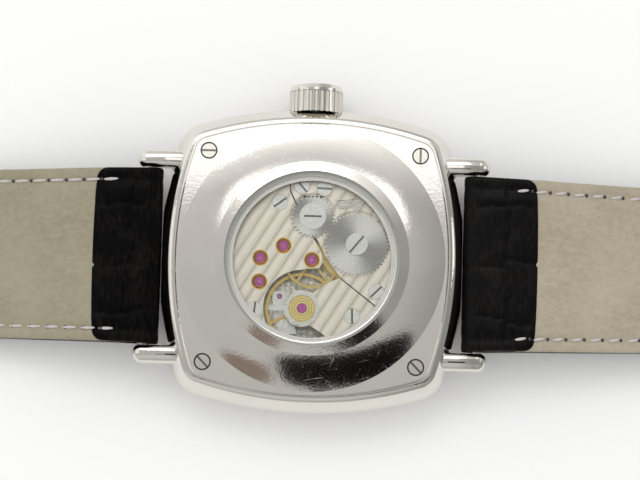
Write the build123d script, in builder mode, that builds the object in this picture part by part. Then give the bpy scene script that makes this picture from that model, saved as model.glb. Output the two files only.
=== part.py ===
from build123d import *
import math
import os

# Frame: millimetres. Z = 0 is the flat outer face of the front crystal, on which the watch lies, and +Z
# points out of the case back. +X points to 12 o'clock and +Y to the crown at 3 o'clock.

# Heights up the stack
crystal_thickness = 1.4
crystal_stand = 0.35
bezel_height = 2.25
case_height = 5.1
cover_plate_thickness = 0.5
cover_dome_rise = 0.42
cover_spigot_depth = 0.6
dial_thickness = 0.4
dial_gap = 0.02
plate_thickness = 1.0
train_space = 1.08
bridge_thickness = 0.67

# Case, as cushion outlines: middle of a side, unrounded corner as a share of it, corner radius
case_half_width = 19.3
case_corner_share = 0.855
case_corner_radius = 4.4
back_corner_radius = 2.2
back_edge_inset = 1.6
seam_inset = 0.4
belly_share = 0.42
case_top_round = 0.9
bezel_inset_share = 0.0984
bezel_front_round = 0.6
cover_rim_width = 0.55
cover_gap = 0.04
cover_corner_radius = 2.0
cover_edge_chamfer = 0.16
dome_inset = 0.45
dome_middle_share = 0.62
rim_outer_radius = 12.2
window_radius = 11.0
window_rim_rise = 0.18
window_lip_radius = 9.9
rear_crystal_thickness = 1.0
crystal_seal_width = 0.35
seal_height_share = 0.8
crystal_chamfer = 0.2
seal_groove_width = 0.7
seal_groove_depth = 0.4

# Corner screws of the cover
cover_screw_inset = 1.38
cover_screw_head_radius = 0.88
cover_screw_sink_radius = 1.08
cover_screw_head_height = 0.35
cover_screw_shank_radius = 0.5
cover_screw_length = 2.6
cover_screw_turns = (90.0, -45.0, 0.0, -45.0)
slot_width = 0.26
slot_depth = 0.22

# Lugs and spring bars
strap_width = 22.2
lug_gap = 0.15
lug_width = 2.3
lug_stand = 1.6
lug_tip_radius = 1.3
lug_root_inset = 3.2
lug_root_drop = 1.95
lug_root_crest = 1.35
lug_bow = 0.2
lug_inner_round = 0.8
lug_outer_round = 1.2
bar_height = 5.9
strap_case_gap = 0.1
bar_radius = 0.75
bar_pin_radius = 0.4
bar_pin_length = 1.3

# Crown, tube and stem
stem_height = 4.7
stem_radius = 0.4
stem_inner_end = 5.0
crown_radius = 3.4
crown_skirt_length = 2.95
crown_dome_height = 0.95
crown_sink = 0.5
crown_seat_depth = 0.12
crown_seat_room = 0.15
flute_count = 28
flute_radius = 0.27
flute_bottom_share = 0.985
cap_edge_share = 0.93
crown_recess_radius = 2.0
crown_recess_depth = 1.75
crown_wall_round = 0.3
stem_thread_depth = 1.0
tube_radius = 1.25
tube_wall = 0.6
tube_stand = 1.0
crown_seal_height = 0.6
stem_groove_radius = 0.25
stem_groove_width = 0.4
stem_groove_place = 9.6

# Dial side
dial_room = 0.2
dial_bore_radius = 0.9
seconds_bore_radius = 0.35
seconds_dial_radius = 3.7
seconds_dial_depth = 0.1
dial_foot_radius = 0.35
dial_foot_length = 0.7
dial_foot_shares = ((-0.50, -0.80), (-0.30, 0.90))
marker_length = 2.2
marker_width = 0.7
long_marker_share = 1.4
marker_height = 0.3
marker_inset = 1.7
hour_hand_share = 0.667
hour_hand_width = 1.1
hour_hand_level = 2.4
minute_hand_room = 1.9
minute_hand_width = 0.85
minute_hand_level = 1.95
seconds_hand_length = 3.0
seconds_hand_width = 0.25
seconds_hand_level = 2.76
hand_thickness = 0.16
hour_hand_turn = 305.0
minute_hand_turn = 60.0
seconds_hand_turn = 205.0
hand_tail_share = 0.12
hour_hub_share = 1.5
minute_hub_share = 2.0
seconds_hub_share = 2.4
hand_tip_share = 0.3

# Bores and rings, as shares of the room between the movement and the middle of a case side
bore_room_share = 0.346
seal_groove_room_share = 0.405
crystal_room_share = 0.49
flange_room_share = 0.216
ring_step_room_share = 0.222

# Movement: radius of the plate, and places on it as shares of that radius
movement_radius = 11.65
third_share = (-0.310, 0.147)
fourth_share = (-0.557, 0.009)
escape_share = (-0.5605, -0.249)
pallet_share = (-0.339, -0.3914)
balance_share = (-0.0936, -0.5288)
crown_wheel_share = (-0.0034, 0.4747)
ratchet_share = (0.479, 0.182)
click_share = (0.468, 0.610)
minute_wheel_share = (-0.193, 0.1116)
setting_wheel_share = (-0.036, 0.3416)
train_screw_shares = ((-0.360, 0.615), (-0.604, -0.551))
barrel_screw_shares = ((-0.129, 0.797), (0.117, 0.779), (0.702, -0.326))
cock_screw_share = (0.449, -0.596)
pallet_screw_share = (-0.290, -0.6936)
train_edge_shares = (
    (-0.270, 0.94), (-0.256, 0.736), (-0.176, 0.567), (0.016, 0.228), (0.100, 0.080), (0.118, -0.020),
    (0.084, -0.086), (-0.080, -0.103), (-0.243, -0.136), (-0.243, -0.40), (-0.38, -0.70), (-0.48, -0.99),
    (-1.05, -0.99), (-1.05, 0.99),
)
barrel_edge_shares = (
    (-0.256, 0.94), (-0.242, 0.740), (-0.162, 0.571), (0.040, 0.245), (0.160, 0.02), (0.309, -0.180),
    (0.704, -0.481), (1.05, -0.70), (1.05, 0.99), (-0.256, 1.05),
)
cock_edge_shares = (
    (0.180, -0.245), (0.300, -0.190), (0.695, -0.491), (1.05, -0.72), (1.05, -1.05), (0.24, -1.05),
    (0.159, -0.815), (-0.010, -0.703), (-0.0936, -0.5288), (0.030, -0.345),
)
pallet_cock_shares = ((-0.42, -0.34), (-0.27, -0.34), (-0.20, -0.60), (-0.14, -0.80), (-0.34, -0.80),
                      (-0.40, -0.60))
bridge_inset = 0.35
foot_ring_width = 1.4
foot_post_radius = 0.8
barrel_room = 0.2
balance_room = 0.28

# Screws, jewels and pivots of the movement
screw_head_height = 0.34
screw_stand = 0.05
screw_shank_radius = 0.3
screw_head_radius = 0.95
small_screw_radius = 0.6
screw_room = 0.05
screw_depth = 0.35
setting_radius = 1.05
setting_thickness = 0.3
jewel_radius = 0.63
jewel_thickness = 0.22
pallet_jewel_share = 0.55
jewel_sink = 0.06
jewel_bore_radius = 0.12
pivot_radius = 0.1
arbor_radius = 0.16
arbor_room = 0.12

# Winding gears
crown_wheel_teeth = 32
ratchet_teeth = 48
winding_pinion_teeth = 14
winding_wheel_thickness = 0.25
winding_level = 2.42
wheel_sink_room = 0.16
crown_core_radius = 1.67
crown_core_thickness = 0.07
crown_core_hub_radius = 1.1
crown_screw_radius = 0.98
ratchet_screw_radius = 1.38
ratchet_screw_height = 0.3
winding_pinion_radius = 1.15
winding_pinion_place = 7.3
winding_pinion_length = 0.75
stem_gear_root_share = 0.78
sliding_pinion_radius = 0.62
sliding_pinion_place = 6.0
sliding_pinion_length = 1.15
sliding_pinion_shift = 0.8
keyless_room = 0.12
click_radius = 0.72
click_nose_width = 0.5
click_tail_length = 2.3
click_tail_width = 0.4
click_tail_turn = 188.0
click_screw_share = 0.75
click_depth_share = 0.3
click_strip_share = 0.7
click_spring_width = 0.22
click_gap = 0.28
click_room = 0.12

# Barrel
barrel_teeth = 72
barrel_drum_radius = 4.85
barrel_floor_height = 0.45
barrel_height = 1.32
barrel_wall = 0.25
barrel_floor = 0.15
barrel_lid = 0.15
barrel_flange_height = 0.62
barrel_flange_thickness = 0.2
barrel_arbor_radius = 0.9
running_gap = 0.05
mainspring_inner_radius = 2.2

# Going train: teeth of wheel and of the pinion that it drives, and levels above the plate's lower face
centre_teeth = 80
third_teeth = 75
fourth_teeth = 84
centre_pinion_teeth = 12
third_pinion_teeth = 10
fourth_pinion_teeth = 10
escape_pinion_teeth = 7
wheel_thickness = 0.12
pinion_overlap = 0.05
centre_level = 1.90
third_level = 1.52
fourth_level = 1.30
escape_level = 1.06
spoke_width = 0.3
rim_width = 0.42
hub_radius = 0.75
centre_spoke_turn = 20
centre_hub_share = 1.35
escape_teeth = 15
escape_tip_radius = 1.98
escape_root_radius = 1.5
escape_lean_share = 0.16
escape_flat_share = 0.06
escape_back_share = 0.28
escape_spoke_share = 0.7

# Escapement and balance
fork_lever_width = 0.26
fork_arm_length = 1.15
fork_arm_turn = 60.0
fork_stone_width = 0.2
fork_stone_length = 0.5
fork_end_gap = 0.42
pallet_cock_level = 1.20
pallet_cock_thickness = 0.16
balance_level = 1.42
balance_rim_radius = 4.6
balance_rim_width = 0.4
balance_rim_thickness = 0.24
balance_arm_width = 0.4
balance_arm_turn = 25.0
roller_radius = 0.6
roller_thickness = 0.1
impulse_pin_radius = 0.08
impulse_pin_place = 0.45
hairspring_level = 1.74
hairspring_thickness = 0.1
hairspring_strip = 0.08
hairspring_inner_radius = 0.5
hairspring_pitch = 0.5
hairspring_turns = 3
regulator_ring_radius = 2.15
regulator_thickness = 0.14
regulator_arm_length = 4.2
regulator_arm_width = 0.7
cap_radius = 1.68
cap_thickness = 0.17
cap_seat_radius = 0.88
cock_nose_radius = 2.3

# Motion work on the dial side
cannon_teeth = 12
minute_teeth = 36
minute_pinion_teeth = 10
hour_teeth = 40
setting_teeth = 24
motion_level = 0.36
motion_thickness = 0.14
hour_level = 0.10
pocket_depth = 0.6
cannon_pipe_radius = 0.42
hour_pipe_radius = 0.75

# Movement ring and its clamps
ring_gap = 0.08
clamp_width = 2.0
clamp_thickness = 0.25
clamp_turns = (25.0, 205.0)
clamp_screw_radius = 0.5
clamp_screw_height = 0.3
first_screw_turn = 37.0
screw_turn_step = 47.0
ratchet_screw_turn = 51.0
pallet_screw_turn = 60.0

# Strap halves
strap_end_width = 18.0
strap_nose_radius = 1.95
strap_end_thickness = 2.0
strap_short_length = 75.0
strap_long_length = 115.0
strap_fall_share = 0.507
lining_thickness = 0.7
wrap_length = 7.2
strap_tip_length = 8.0
fall_run_shares = (0.0, 0.16, 0.42, 0.72, 1.0)
fall_height_shares = (1.0, 0.93, 0.52, 0.13, 0.0)
bar_room = 0.05
strap_hole_radius = 0.95
strap_hole_count = 7
strap_hole_pitch = 6.5
strap_first_hole = 28.0

# Keepers and buckle
keeper_wall = 0.9
keeper_gap = 1.2
keeper_width = 5.0
keeper_room = 0.1
keeper_round = 0.5
fixed_keeper_inset = 13.0
keeper_spacing = 12.0
loose_keeper_travel = 4.0
buckle_tilt = 8.0
buckle_window_length = 9.0
buckle_window_half_width = 9.3
buckle_arm_width = 1.9
buckle_cross_width = 2.4
buckle_thickness = 2.0
buckle_round = 0.5
buckle_bar_radius = 0.5
tongue_width = 1.8
tongue_thickness = 0.8
tongue_eye_radius = 0.95
tongue_slot_room = 0.2

overrun = 1.0

# Widths worked out from the sizes above
case_room = case_half_width - movement_radius
case_corner_reach = case_half_width * case_corner_share
case_bore_radius = movement_radius + case_room * bore_room_share
seal_groove_inner_radius = movement_radius + case_room * seal_groove_room_share
crystal_radius = movement_radius + case_room * crystal_room_share
flange_radius = movement_radius + case_room * flange_room_share
ring_step_radius = movement_radius + case_room * ring_step_room_share
bezel_inset = case_half_width * bezel_inset_share
back_half_width = case_half_width - back_edge_inset
back_corner_reach = back_half_width * case_corner_share
seam_half_width = case_half_width - seam_inset
seam_corner_reach = seam_half_width * case_corner_share
cover_half_width = back_half_width - cover_rim_width
cover_corner_reach = cover_half_width * case_corner_share
cover_screw_reach = cover_corner_reach - cover_screw_inset
dome_radius = cover_half_width - dome_inset
dial_radius = case_bore_radius - dial_room
marker_ring_radius = flange_radius - marker_inset
minute_hand_length = flange_radius - minute_hand_room
hour_hand_length = minute_hand_length * hour_hand_share
lug_reach = case_half_width + lug_stand
pocket_reach = lug_reach - strap_nose_radius - strap_case_gap
strap_fall_run = strap_short_length * strap_fall_share
fixed_keeper_place = strap_short_length - fixed_keeper_inset
loose_keeper_place = fixed_keeper_place - keeper_spacing

# Levels worked out from the sizes above
case_bottom = crystal_stand + bezel_height
case_top = case_bottom + case_height
cover_top = case_top + cover_plate_thickness
dome_top = cover_top + cover_dome_rise
window_top = dome_top + window_rim_rise
shoulder_top = cover_top - cover_edge_chamfer
spigot_bottom = case_top - cover_spigot_depth
crystal_seat = spigot_bottom + cover_spigot_depth / 2
dial_back = case_bottom + dial_thickness * 2
dial_face = dial_back - dial_thickness
plate_top = dial_back + plate_thickness
bridge_bottom = plate_top + train_space
bridge_top = bridge_bottom + bridge_thickness
winding_bottom = dial_back + winding_level
winding_top = winding_bottom + winding_wheel_thickness
crown_base = case_half_width - crown_sink
crown_end = crown_base + crown_skirt_length + crown_dome_height
lug_inner = strap_width / 2 + lug_gap
strap_rest_height = keeper_wall + keeper_gap


def place(share):
    """Point on the movement, from shares of its radius."""
    return (share[0] * movement_radius, share[1] * movement_radius)


def distance(first, second):
    return math.hypot(second[0] - first[0], second[1] - first[1])


def bearing(first, second):
    """Direction from one point to another, in degrees."""
    return math.degrees(math.atan2(second[1] - first[1], second[0] - first[0]))


centre_at = (0.0, 0.0)
third_at = place(third_share)
fourth_at = place(fourth_share)
escape_at = place(escape_share)
pallet_at = place(pallet_share)
balance_at = place(balance_share)
crown_wheel_at = place(crown_wheel_share)
ratchet_at = place(ratchet_share)
click_at = place(click_share)
minute_at = place(minute_wheel_share)
setting_at = place(setting_wheel_share)


def mesh_module(first, first_teeth, second, second_teeth):
    return 2 * distance(first, second) / (first_teeth + second_teeth)


winding_module = mesh_module(crown_wheel_at, crown_wheel_teeth, ratchet_at, ratchet_teeth)
barrel_module = mesh_module(ratchet_at, barrel_teeth, centre_at, centre_pinion_teeth)
centre_module = mesh_module(centre_at, centre_teeth, third_at, third_pinion_teeth)
third_module = mesh_module(third_at, third_teeth, fourth_at, fourth_pinion_teeth)
fourth_module = mesh_module(fourth_at, fourth_teeth, escape_at, escape_pinion_teeth)
minute_module = mesh_module(centre_at, cannon_teeth, minute_at, minute_teeth)
hour_module = mesh_module(centre_at, hour_teeth, minute_at, minute_pinion_teeth)

addendum_share = 0.88
dedendum_share = 1.2
tip_half_share = 0.10
root_half_share = 0.29


def tip_radius(teeth, module):
    return module * (teeth / 2 + addendum_share)


def mesh_turn(first, first_teeth, first_turn, second, second_teeth):
    """Turn of the second gear that puts its gaps on the teeth of the first."""
    line = bearing(first, second)
    first_pitch = 360 / first_teeth
    second_pitch = 360 / second_teeth
    past_tooth = ((line - first_turn) / first_pitch) % 1
    return line + 180 + (past_tooth + 0.5) * second_pitch


def beside(at, turn, forward, left):
    """Point reached from a place by going forward in a direction and then to its left."""
    angle = math.radians(turn)
    return (at[0] + forward * math.cos(angle) - left * math.sin(angle),
            at[1] + forward * math.sin(angle) + left * math.cos(angle))


def disc(at, bottom, top, radius, mode=Mode.ADD):
    """Upright cylinder between two levels."""
    with Locations((at[0], at[1], bottom)):
        Cylinder(radius, top - bottom, align=(Align.CENTER, Align.CENTER, Align.MIN), mode=mode)


def rod(x, z, start, end, radius, mode=Mode.ADD):
    """Cylinder along Y between two places."""
    with Locations(Location((x, start, z), (-90, 0, 0))):
        Cylinder(radius, end - start, align=(Align.CENTER, Align.CENTER, Align.MIN), mode=mode)


def slot(at, top, turn, length, width=slot_width, depth=slot_depth):
    """Screwdriver slot cut into the head below the given level."""
    with Locations(Location((at[0], at[1], top), (0, 0, turn))):
        Box(length, width, 2 * depth, mode=Mode.SUBTRACT)


def slotted_screw(at, top, head_radius, head_height, shank_radius, bottom, turn):
    disc(at, top - head_height, top, head_radius)
    disc(at, bottom, top - head_height, shank_radius)
    slot(at, top, turn, 2 * head_radius + overrun)


def teeth_sketch(at, level, teeth, module, turn):
    """Outline of a toothed wheel on a level."""
    pitch = 360 / teeth
    tip = tip_radius(teeth, module)
    root = module * (teeth / 2 - dedendum_share)
    corners = []
    for tooth in range(teeth):
        for radius, share in ((root, -root_half_share), (tip, -tip_half_share),
                              (tip, tip_half_share), (root, root_half_share)):
            angle = math.radians(turn + (tooth + share) * pitch)
            corners.append((at[0] + radius * math.cos(angle), at[1] + radius * math.sin(angle)))
    with BuildSketch(Plane.XY.offset(level)) as outline:
        with BuildLine():
            Polyline(*corners, close=True)
        make_face()
    return outline.sketch


def gear(at, bottom, top, teeth, module, turn, mode=Mode.ADD):
    extrude(teeth_sketch(at, bottom, teeth, module, turn), amount=top - bottom, mode=mode)


def crossings(at, bottom, top, rim_radius, inner_radius, spokes, turn, width=spoke_width):
    """Cut the windows between a wheel's spokes."""
    with BuildSketch(Plane.XY.offset(bottom)) as windows:
        with Locations(at):
            Circle(rim_radius)
            Circle(inner_radius, mode=Mode.SUBTRACT)
            with PolarLocations(0, spokes, start_angle=turn):
                Rectangle(rim_radius + overrun, width, align=(Align.MIN, Align.CENTER), mode=Mode.SUBTRACT)
    extrude(windows.sketch, amount=top - bottom, mode=Mode.SUBTRACT)


def outline_sketch(shares, level):
    """Closed outline on the movement, from shares of its radius."""
    with BuildSketch(Plane.XY.offset(level)) as outline:
        with BuildLine():
            Polyline(*[place(share) for share in shares], close=True)
        make_face()
    return outline.sketch


def cushion(level, half_width, reach, corner_radius):
    """Cushion outline: four bowed sides with rounded corners."""
    corners = ((reach, -reach), (reach, reach), (-reach, reach), (-reach, -reach))
    middles = ((half_width, 0), (0, half_width), (-half_width, 0), (0, -half_width))
    with BuildSketch(Plane.XY.offset(level)) as outline:
        with BuildLine():
            for side in range(4):
                ThreePointArc(corners[side], middles[side], corners[(side + 1) % 4])
        make_face()
        fillet(outline.vertices(), corner_radius)
    return outline.sketch


def save(part, name):
    part.label = name
    export_step(part, "parts/" + name + ".step")


os.makedirs("parts", exist_ok=True)

# Lug: a bar with a round end for the spring bar, rooted in the case wall
with BuildPart() as lug:
    with BuildSketch(Plane.XZ.offset(-lug_inner)):
        with BuildLine():
            tip = ThreePointArc((lug_reach, bar_height + lug_tip_radius),
                                (lug_reach + lug_tip_radius, bar_height),
                                (lug_reach, bar_height - lug_tip_radius))
            root_x = case_half_width - lug_root_inset
            Line(tip @ 1, (root_x, bar_height - lug_root_drop))
            Line((root_x, bar_height - lug_root_drop), (root_x, bar_height + lug_root_crest))
            ThreePointArc((root_x, bar_height + lug_root_crest),
                          ((root_x + lug_reach) / 2, bar_height + lug_root_crest + lug_bow), tip @ 0)
        make_face()
    extrude(amount=-lug_width)
    fillet(lug.faces().sort_by(Axis.Y)[-1].edges(), lug_outer_round)
    fillet(lug.faces().sort_by(Axis.Y)[0].edges(), lug_inner_round)
    rod(lug_reach, bar_height, lug_inner - overrun, lug_inner + bar_pin_length, bar_pin_radius, Mode.SUBTRACT)

# Middle case with its four lugs
with BuildPart() as midcase:
    loft([cushion(case_bottom, seam_half_width, seam_corner_reach, case_corner_radius),
          cushion(case_bottom + case_height * belly_share, case_half_width, case_corner_reach,
                  case_corner_radius),
          cushion(shoulder_top, back_half_width, back_corner_reach, back_corner_radius)])
    fillet(midcase.faces().sort_by(Axis.Z)[-1].edges(), case_top_round)
    cover_recess = cushion(case_top, cover_half_width + cover_gap, cover_corner_reach + cover_gap,
                           cover_corner_radius)
    extrude(cover_recess, amount=cover_plate_thickness, mode=Mode.SUBTRACT)
    with Locations((pocket_reach, 0, case_bottom)):
        Box(lug_stand, 2 * lug_inner, case_height, align=(Align.MIN, Align.CENTER, Align.MIN),
            mode=Mode.SUBTRACT)
    with Locations((-pocket_reach, 0, case_bottom)):
        Box(lug_stand, 2 * lug_inner, case_height, align=(Align.MAX, Align.CENTER, Align.MIN),
            mode=Mode.SUBTRACT)
    add(lug.part)
    mirror(lug.part, about=Plane.YZ)
    mirror(lug.part, about=Plane.XZ)
    mirror(mirror(lug.part, about=Plane.YZ, mode=Mode.PRIVATE), about=Plane.XZ)
    disc(centre_at, case_top - seal_groove_depth, case_top + overrun,
         seal_groove_inner_radius + seal_groove_width, Mode.SUBTRACT)
    disc(centre_at, case_top - seal_groove_depth, case_top, seal_groove_inner_radius)
    disc(centre_at, case_bottom - overrun, case_top + overrun, case_bore_radius, Mode.SUBTRACT)
    rod(0, stem_height, case_bore_radius - overrun, case_half_width + overrun, tube_radius, Mode.SUBTRACT)
    rod(0, stem_height, crown_base - crown_seat_depth, crown_end, crown_radius + crown_seat_room,
        Mode.SUBTRACT)
    with Locations((0, 0, case_top - cover_screw_length)):
        with GridLocations(2 * cover_screw_reach, 2 * cover_screw_reach, 2, 2):
            Cylinder(cover_screw_shank_radius, cover_screw_length + overrun,
                     align=(Align.CENTER, Align.CENTER, Align.MIN), mode=Mode.SUBTRACT)
save(midcase.part, "midcase")

# Bezel that holds the front crystal
with BuildPart() as bezel:
    front_half_width = case_half_width - bezel_inset
    loft([cushion(crystal_stand, front_half_width, front_half_width * case_corner_share, case_corner_radius),
          cushion(case_bottom, seam_half_width, seam_corner_reach, case_corner_radius)], ruled=True)
    fillet(bezel.faces().sort_by(Axis.Z)[0].edges(), bezel_front_round)
    disc(centre_at, crystal_stand - overrun, crystal_thickness, crystal_radius + crystal_seal_width,
         Mode.SUBTRACT)
    disc(centre_at, crystal_thickness, case_bottom + overrun, case_bore_radius, Mode.SUBTRACT)
    rod(0, stem_height, crown_base - crown_seat_depth, crown_end, crown_radius + crown_seat_room,
        Mode.SUBTRACT)
save(bezel.part, "bezel")

# Flat front crystal, proud of the bezel
with BuildPart() as front_crystal:
    disc(centre_at, 0, crystal_thickness, crystal_radius)
    chamfer(front_crystal.edges().filter_by(GeomType.CIRCLE).sort_by(Axis.Z)[0], crystal_chamfer)
save(front_crystal.part, "front_crystal")

# Sloped ring between the bezel and the dial
with BuildPart() as dial_ring:
    disc(centre_at, crystal_thickness, dial_face, case_bore_radius)
    with Locations((0, 0, crystal_thickness)):
        Cone(flange_radius + (dial_face - crystal_thickness) / 3, flange_radius,
             dial_face - crystal_thickness, align=(Align.CENTER, Align.CENTER, Align.MIN),
             mode=Mode.SUBTRACT)
save(dial_ring.part, "dial_ring")

# Display back: cushion plate, shallow dome, raised rim of the window and a spigot into the case
with BuildPart() as rear_cover:
    extrude(cushion(case_top, cover_half_width, cover_corner_reach, cover_corner_radius),
            amount=cover_plate_thickness)
    chamfer(rear_cover.faces().sort_by(Axis.Z)[-1].edges(), cover_edge_chamfer)
    with BuildSketch(Plane.XZ) as cover_section:
        with BuildLine():
            rise = ThreePointArc((dome_radius, cover_top),
                                 ((dome_radius + rim_outer_radius) / 2,
                                  cover_top + cover_dome_rise * dome_middle_share),
                                 (rim_outer_radius, dome_top))
            Polyline(rise @ 1, (window_radius, window_top), (window_radius, crystal_seat),
                     (window_lip_radius, crystal_seat), (window_lip_radius, spigot_bottom),
                     (case_bore_radius - running_gap, spigot_bottom),
                     (case_bore_radius - running_gap, case_top), (dome_radius, case_top), rise @ 0)
        make_face()
    revolve(axis=Axis.Z)
    disc(centre_at, crystal_seat, window_top + overrun, window_radius, Mode.SUBTRACT)
    disc(centre_at, spigot_bottom - overrun, crystal_seat, window_lip_radius, Mode.SUBTRACT)
    with Locations((0, 0, cover_top)):
        with GridLocations(2 * cover_screw_reach, 2 * cover_screw_reach, 2, 2):
            CounterBoreHole(cover_screw_shank_radius, cover_screw_sink_radius, cover_screw_head_height,
                            cover_plate_thickness + overrun)
save(rear_cover.part, "rear_cover")

with BuildPart() as rear_crystal:
    disc(centre_at, crystal_seat, crystal_seat + rear_crystal_thickness, window_radius - crystal_seal_width)
    chamfer(rear_crystal.edges().filter_by(GeomType.CIRCLE).sort_by(Axis.Z)[-1], crystal_chamfer / 2)
save(rear_crystal.part, "rear_crystal")

# Ring seals of both crystals
with BuildPart() as crystal_gaskets:
    disc(centre_at, crystal_stand, crystal_thickness, crystal_radius + crystal_seal_width)
    disc(centre_at, crystal_stand, crystal_thickness, crystal_radius, Mode.SUBTRACT)
    disc(centre_at, crystal_seat, crystal_seat + rear_crystal_thickness * seal_height_share, window_radius)
    disc(centre_at, crystal_seat, crystal_seat + rear_crystal_thickness, window_radius - crystal_seal_width,
         Mode.SUBTRACT)
save(crystal_gaskets.part, "crystal_gaskets")

with BuildPart() as rear_cover_gasket:
    disc(centre_at, case_top - seal_groove_depth, case_top, seal_groove_inner_radius + seal_groove_width)
    disc(centre_at, case_top - seal_groove_depth, case_top, seal_groove_inner_radius, Mode.SUBTRACT)
save(rear_cover_gasket.part, "rear_cover_gasket")

with BuildPart() as rear_cover_screws:
    corner = 0
    for side_x in (1, -1):
        for side_y in (1, -1):
            slotted_screw((side_x * cover_screw_reach, side_y * cover_screw_reach), cover_top,
                          cover_screw_head_radius, cover_screw_head_height, cover_screw_shank_radius,
                          case_top - cover_screw_length, cover_screw_turns[corner])
            corner += 1
save(rear_cover_screws.part, "rear_cover_screws")

# Crown tube pressed into the case wall
with BuildPart() as crown_tube:
    rod(0, stem_height, case_bore_radius + running_gap, crown_base + tube_stand, tube_radius)
    rod(0, stem_height, case_bore_radius - overrun, crown_base + tube_stand + overrun,
        tube_radius - tube_wall, Mode.SUBTRACT)
save(crown_tube.part, "crown_tube")

# Crown: fluted skirt, plain domed end, recess over the tube
with BuildPart() as crown:
    with BuildSketch(Plane.XY) as crown_section:
        with BuildLine():
            skirt_end = crown_base + crown_skirt_length
            cap = TangentArc((0, crown_end),
                             (crown_radius * cap_edge_share, crown_end - crown_dome_height / 2),
                             tangent=(1, 0))
            Polyline(cap @ 1, (crown_radius, skirt_end), (crown_radius, crown_base), (0, crown_base),
                     (0, crown_end))
        make_face()
    revolve(axis=Axis.Y)
    with Locations(Location((0, crown_base - overrun, 0), (-90, 0, 0))):
        with PolarLocations(crown_radius * flute_bottom_share, flute_count):
            Cylinder(flute_radius, crown_skirt_length + overrun - crown_wall_round,
                     align=(Align.CENTER, Align.CENTER, Align.MIN), mode=Mode.SUBTRACT)
    rod(0, 0, crown_base - overrun, crown_base + crown_recess_depth, crown_recess_radius, Mode.SUBTRACT)
    rod(0, 0, crown_base, crown_base + crown_recess_depth + stem_thread_depth, stem_radius, Mode.SUBTRACT)
save(Pos(0, 0, stem_height) * crown.part, "crown")

with BuildPart() as crown_gasket:
    rod(0, stem_height, crown_base + running_gap, crown_base + running_gap + crown_seal_height,
        crown_recess_radius - running_gap)
    rod(0, stem_height, crown_base - overrun, crown_base + overrun, tube_radius + running_gap, Mode.SUBTRACT)
save(crown_gasket.part, "crown_gasket")

with BuildPart() as winding_stem:
    rod(0, stem_height, stem_inner_end, crown_base + crown_recess_depth + stem_thread_depth, stem_radius)
    rod(0, stem_height, stem_groove_place, stem_groove_place + stem_groove_width, stem_radius + overrun,
        Mode.SUBTRACT)
    rod(0, stem_height, stem_groove_place, stem_groove_place + stem_groove_width, stem_groove_radius)
save(winding_stem.part, "winding_stem")


def stem_gear_sketch(teeth, radius, start):
    """Outline of a pinion that turns on the stem."""
    corners = []
    for tooth in range(teeth):
        for reach, share in ((stem_gear_root_share, -root_half_share), (1, -tip_half_share),
                             (1, tip_half_share), (stem_gear_root_share, root_half_share)):
            angle = math.radians(90 + (tooth + share) * 360 / teeth)
            corners.append((radius * reach * math.cos(angle), radius * reach * math.sin(angle)))
    with BuildSketch(Plane((0, start, stem_height), x_dir=(1, 0, 0), z_dir=(0, 1, 0))) as outline:
        with BuildLine():
            Polyline(*corners, close=True)
        make_face()
        Circle(stem_radius + running_gap, mode=Mode.SUBTRACT)
    return outline.sketch


with BuildPart() as winding_pinion:
    extrude(stem_gear_sketch(winding_pinion_teeth, winding_pinion_radius, winding_pinion_place),
            amount=winding_pinion_length)
save(winding_pinion.part, "winding_pinion")

with BuildPart() as sliding_pinion:
    extrude(stem_gear_sketch(winding_pinion_teeth, sliding_pinion_radius, sliding_pinion_place),
            amount=sliding_pinion_length)
save(sliding_pinion.part, "sliding_pinion")

# Movement ring: a step under the clamps and a wall up to the cover
with BuildPart() as movement_ring:
    disc(centre_at, dial_back, plate_top, case_bore_radius - running_gap)
    disc(centre_at, plate_top, spigot_bottom, case_bore_radius - running_gap)
    disc(centre_at, dial_back, spigot_bottom, movement_radius + ring_gap, Mode.SUBTRACT)
    disc(centre_at, plate_top, spigot_bottom, ring_step_radius, Mode.SUBTRACT)
    rod(0, stem_height, movement_radius - overrun, case_bore_radius + overrun, tube_radius - tube_wall,
        Mode.SUBTRACT)
    for turn in clamp_turns:
        angle = math.radians(turn)
        reach = (movement_radius + ring_step_radius) / 2 + clamp_screw_radius / 2
        disc((reach * math.cos(angle), reach * math.sin(angle)), dial_back + dial_thickness, plate_top,
             screw_shank_radius, Mode.SUBTRACT)
save(movement_ring.part, "movement_ring")

with BuildPart() as casing_clamps:
    for turn in clamp_turns:
        angle = math.radians(turn)
        reach = (movement_radius + ring_step_radius) / 2 + clamp_screw_radius / 2
        screw_at = (reach * math.cos(angle), reach * math.sin(angle))
        inner = movement_radius - bridge_inset + running_gap
        with Locations(Location((inner * math.cos(angle), inner * math.sin(angle), plate_top), (0, 0, turn))):
            Box(ring_step_radius - inner - ring_gap, clamp_width, clamp_thickness,
                align=(Align.MIN, Align.CENTER, Align.MIN))
        slotted_screw(screw_at, plate_top + clamp_thickness + clamp_screw_height, clamp_screw_radius,
                      clamp_screw_height, screw_shank_radius, dial_back + dial_thickness, turn)
save(casing_clamps.part, "casing_clamps")

# Dial with its feet and sunk seconds track
with BuildPart() as dial:
    disc(centre_at, dial_face, dial_back - dial_gap, dial_radius)
    disc(fourth_at, dial_face, dial_face + seconds_dial_depth, seconds_dial_radius, Mode.SUBTRACT)
    disc(centre_at, dial_face - overrun, dial_back + overrun, dial_bore_radius, Mode.SUBTRACT)
    disc(fourth_at, dial_face - overrun, dial_back + overrun, seconds_bore_radius, Mode.SUBTRACT)
    for share in dial_foot_shares:
        disc(place(share), dial_back - dial_thickness / 2, dial_back + dial_foot_length, dial_foot_radius)
save(dial.part, "dial")

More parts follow.
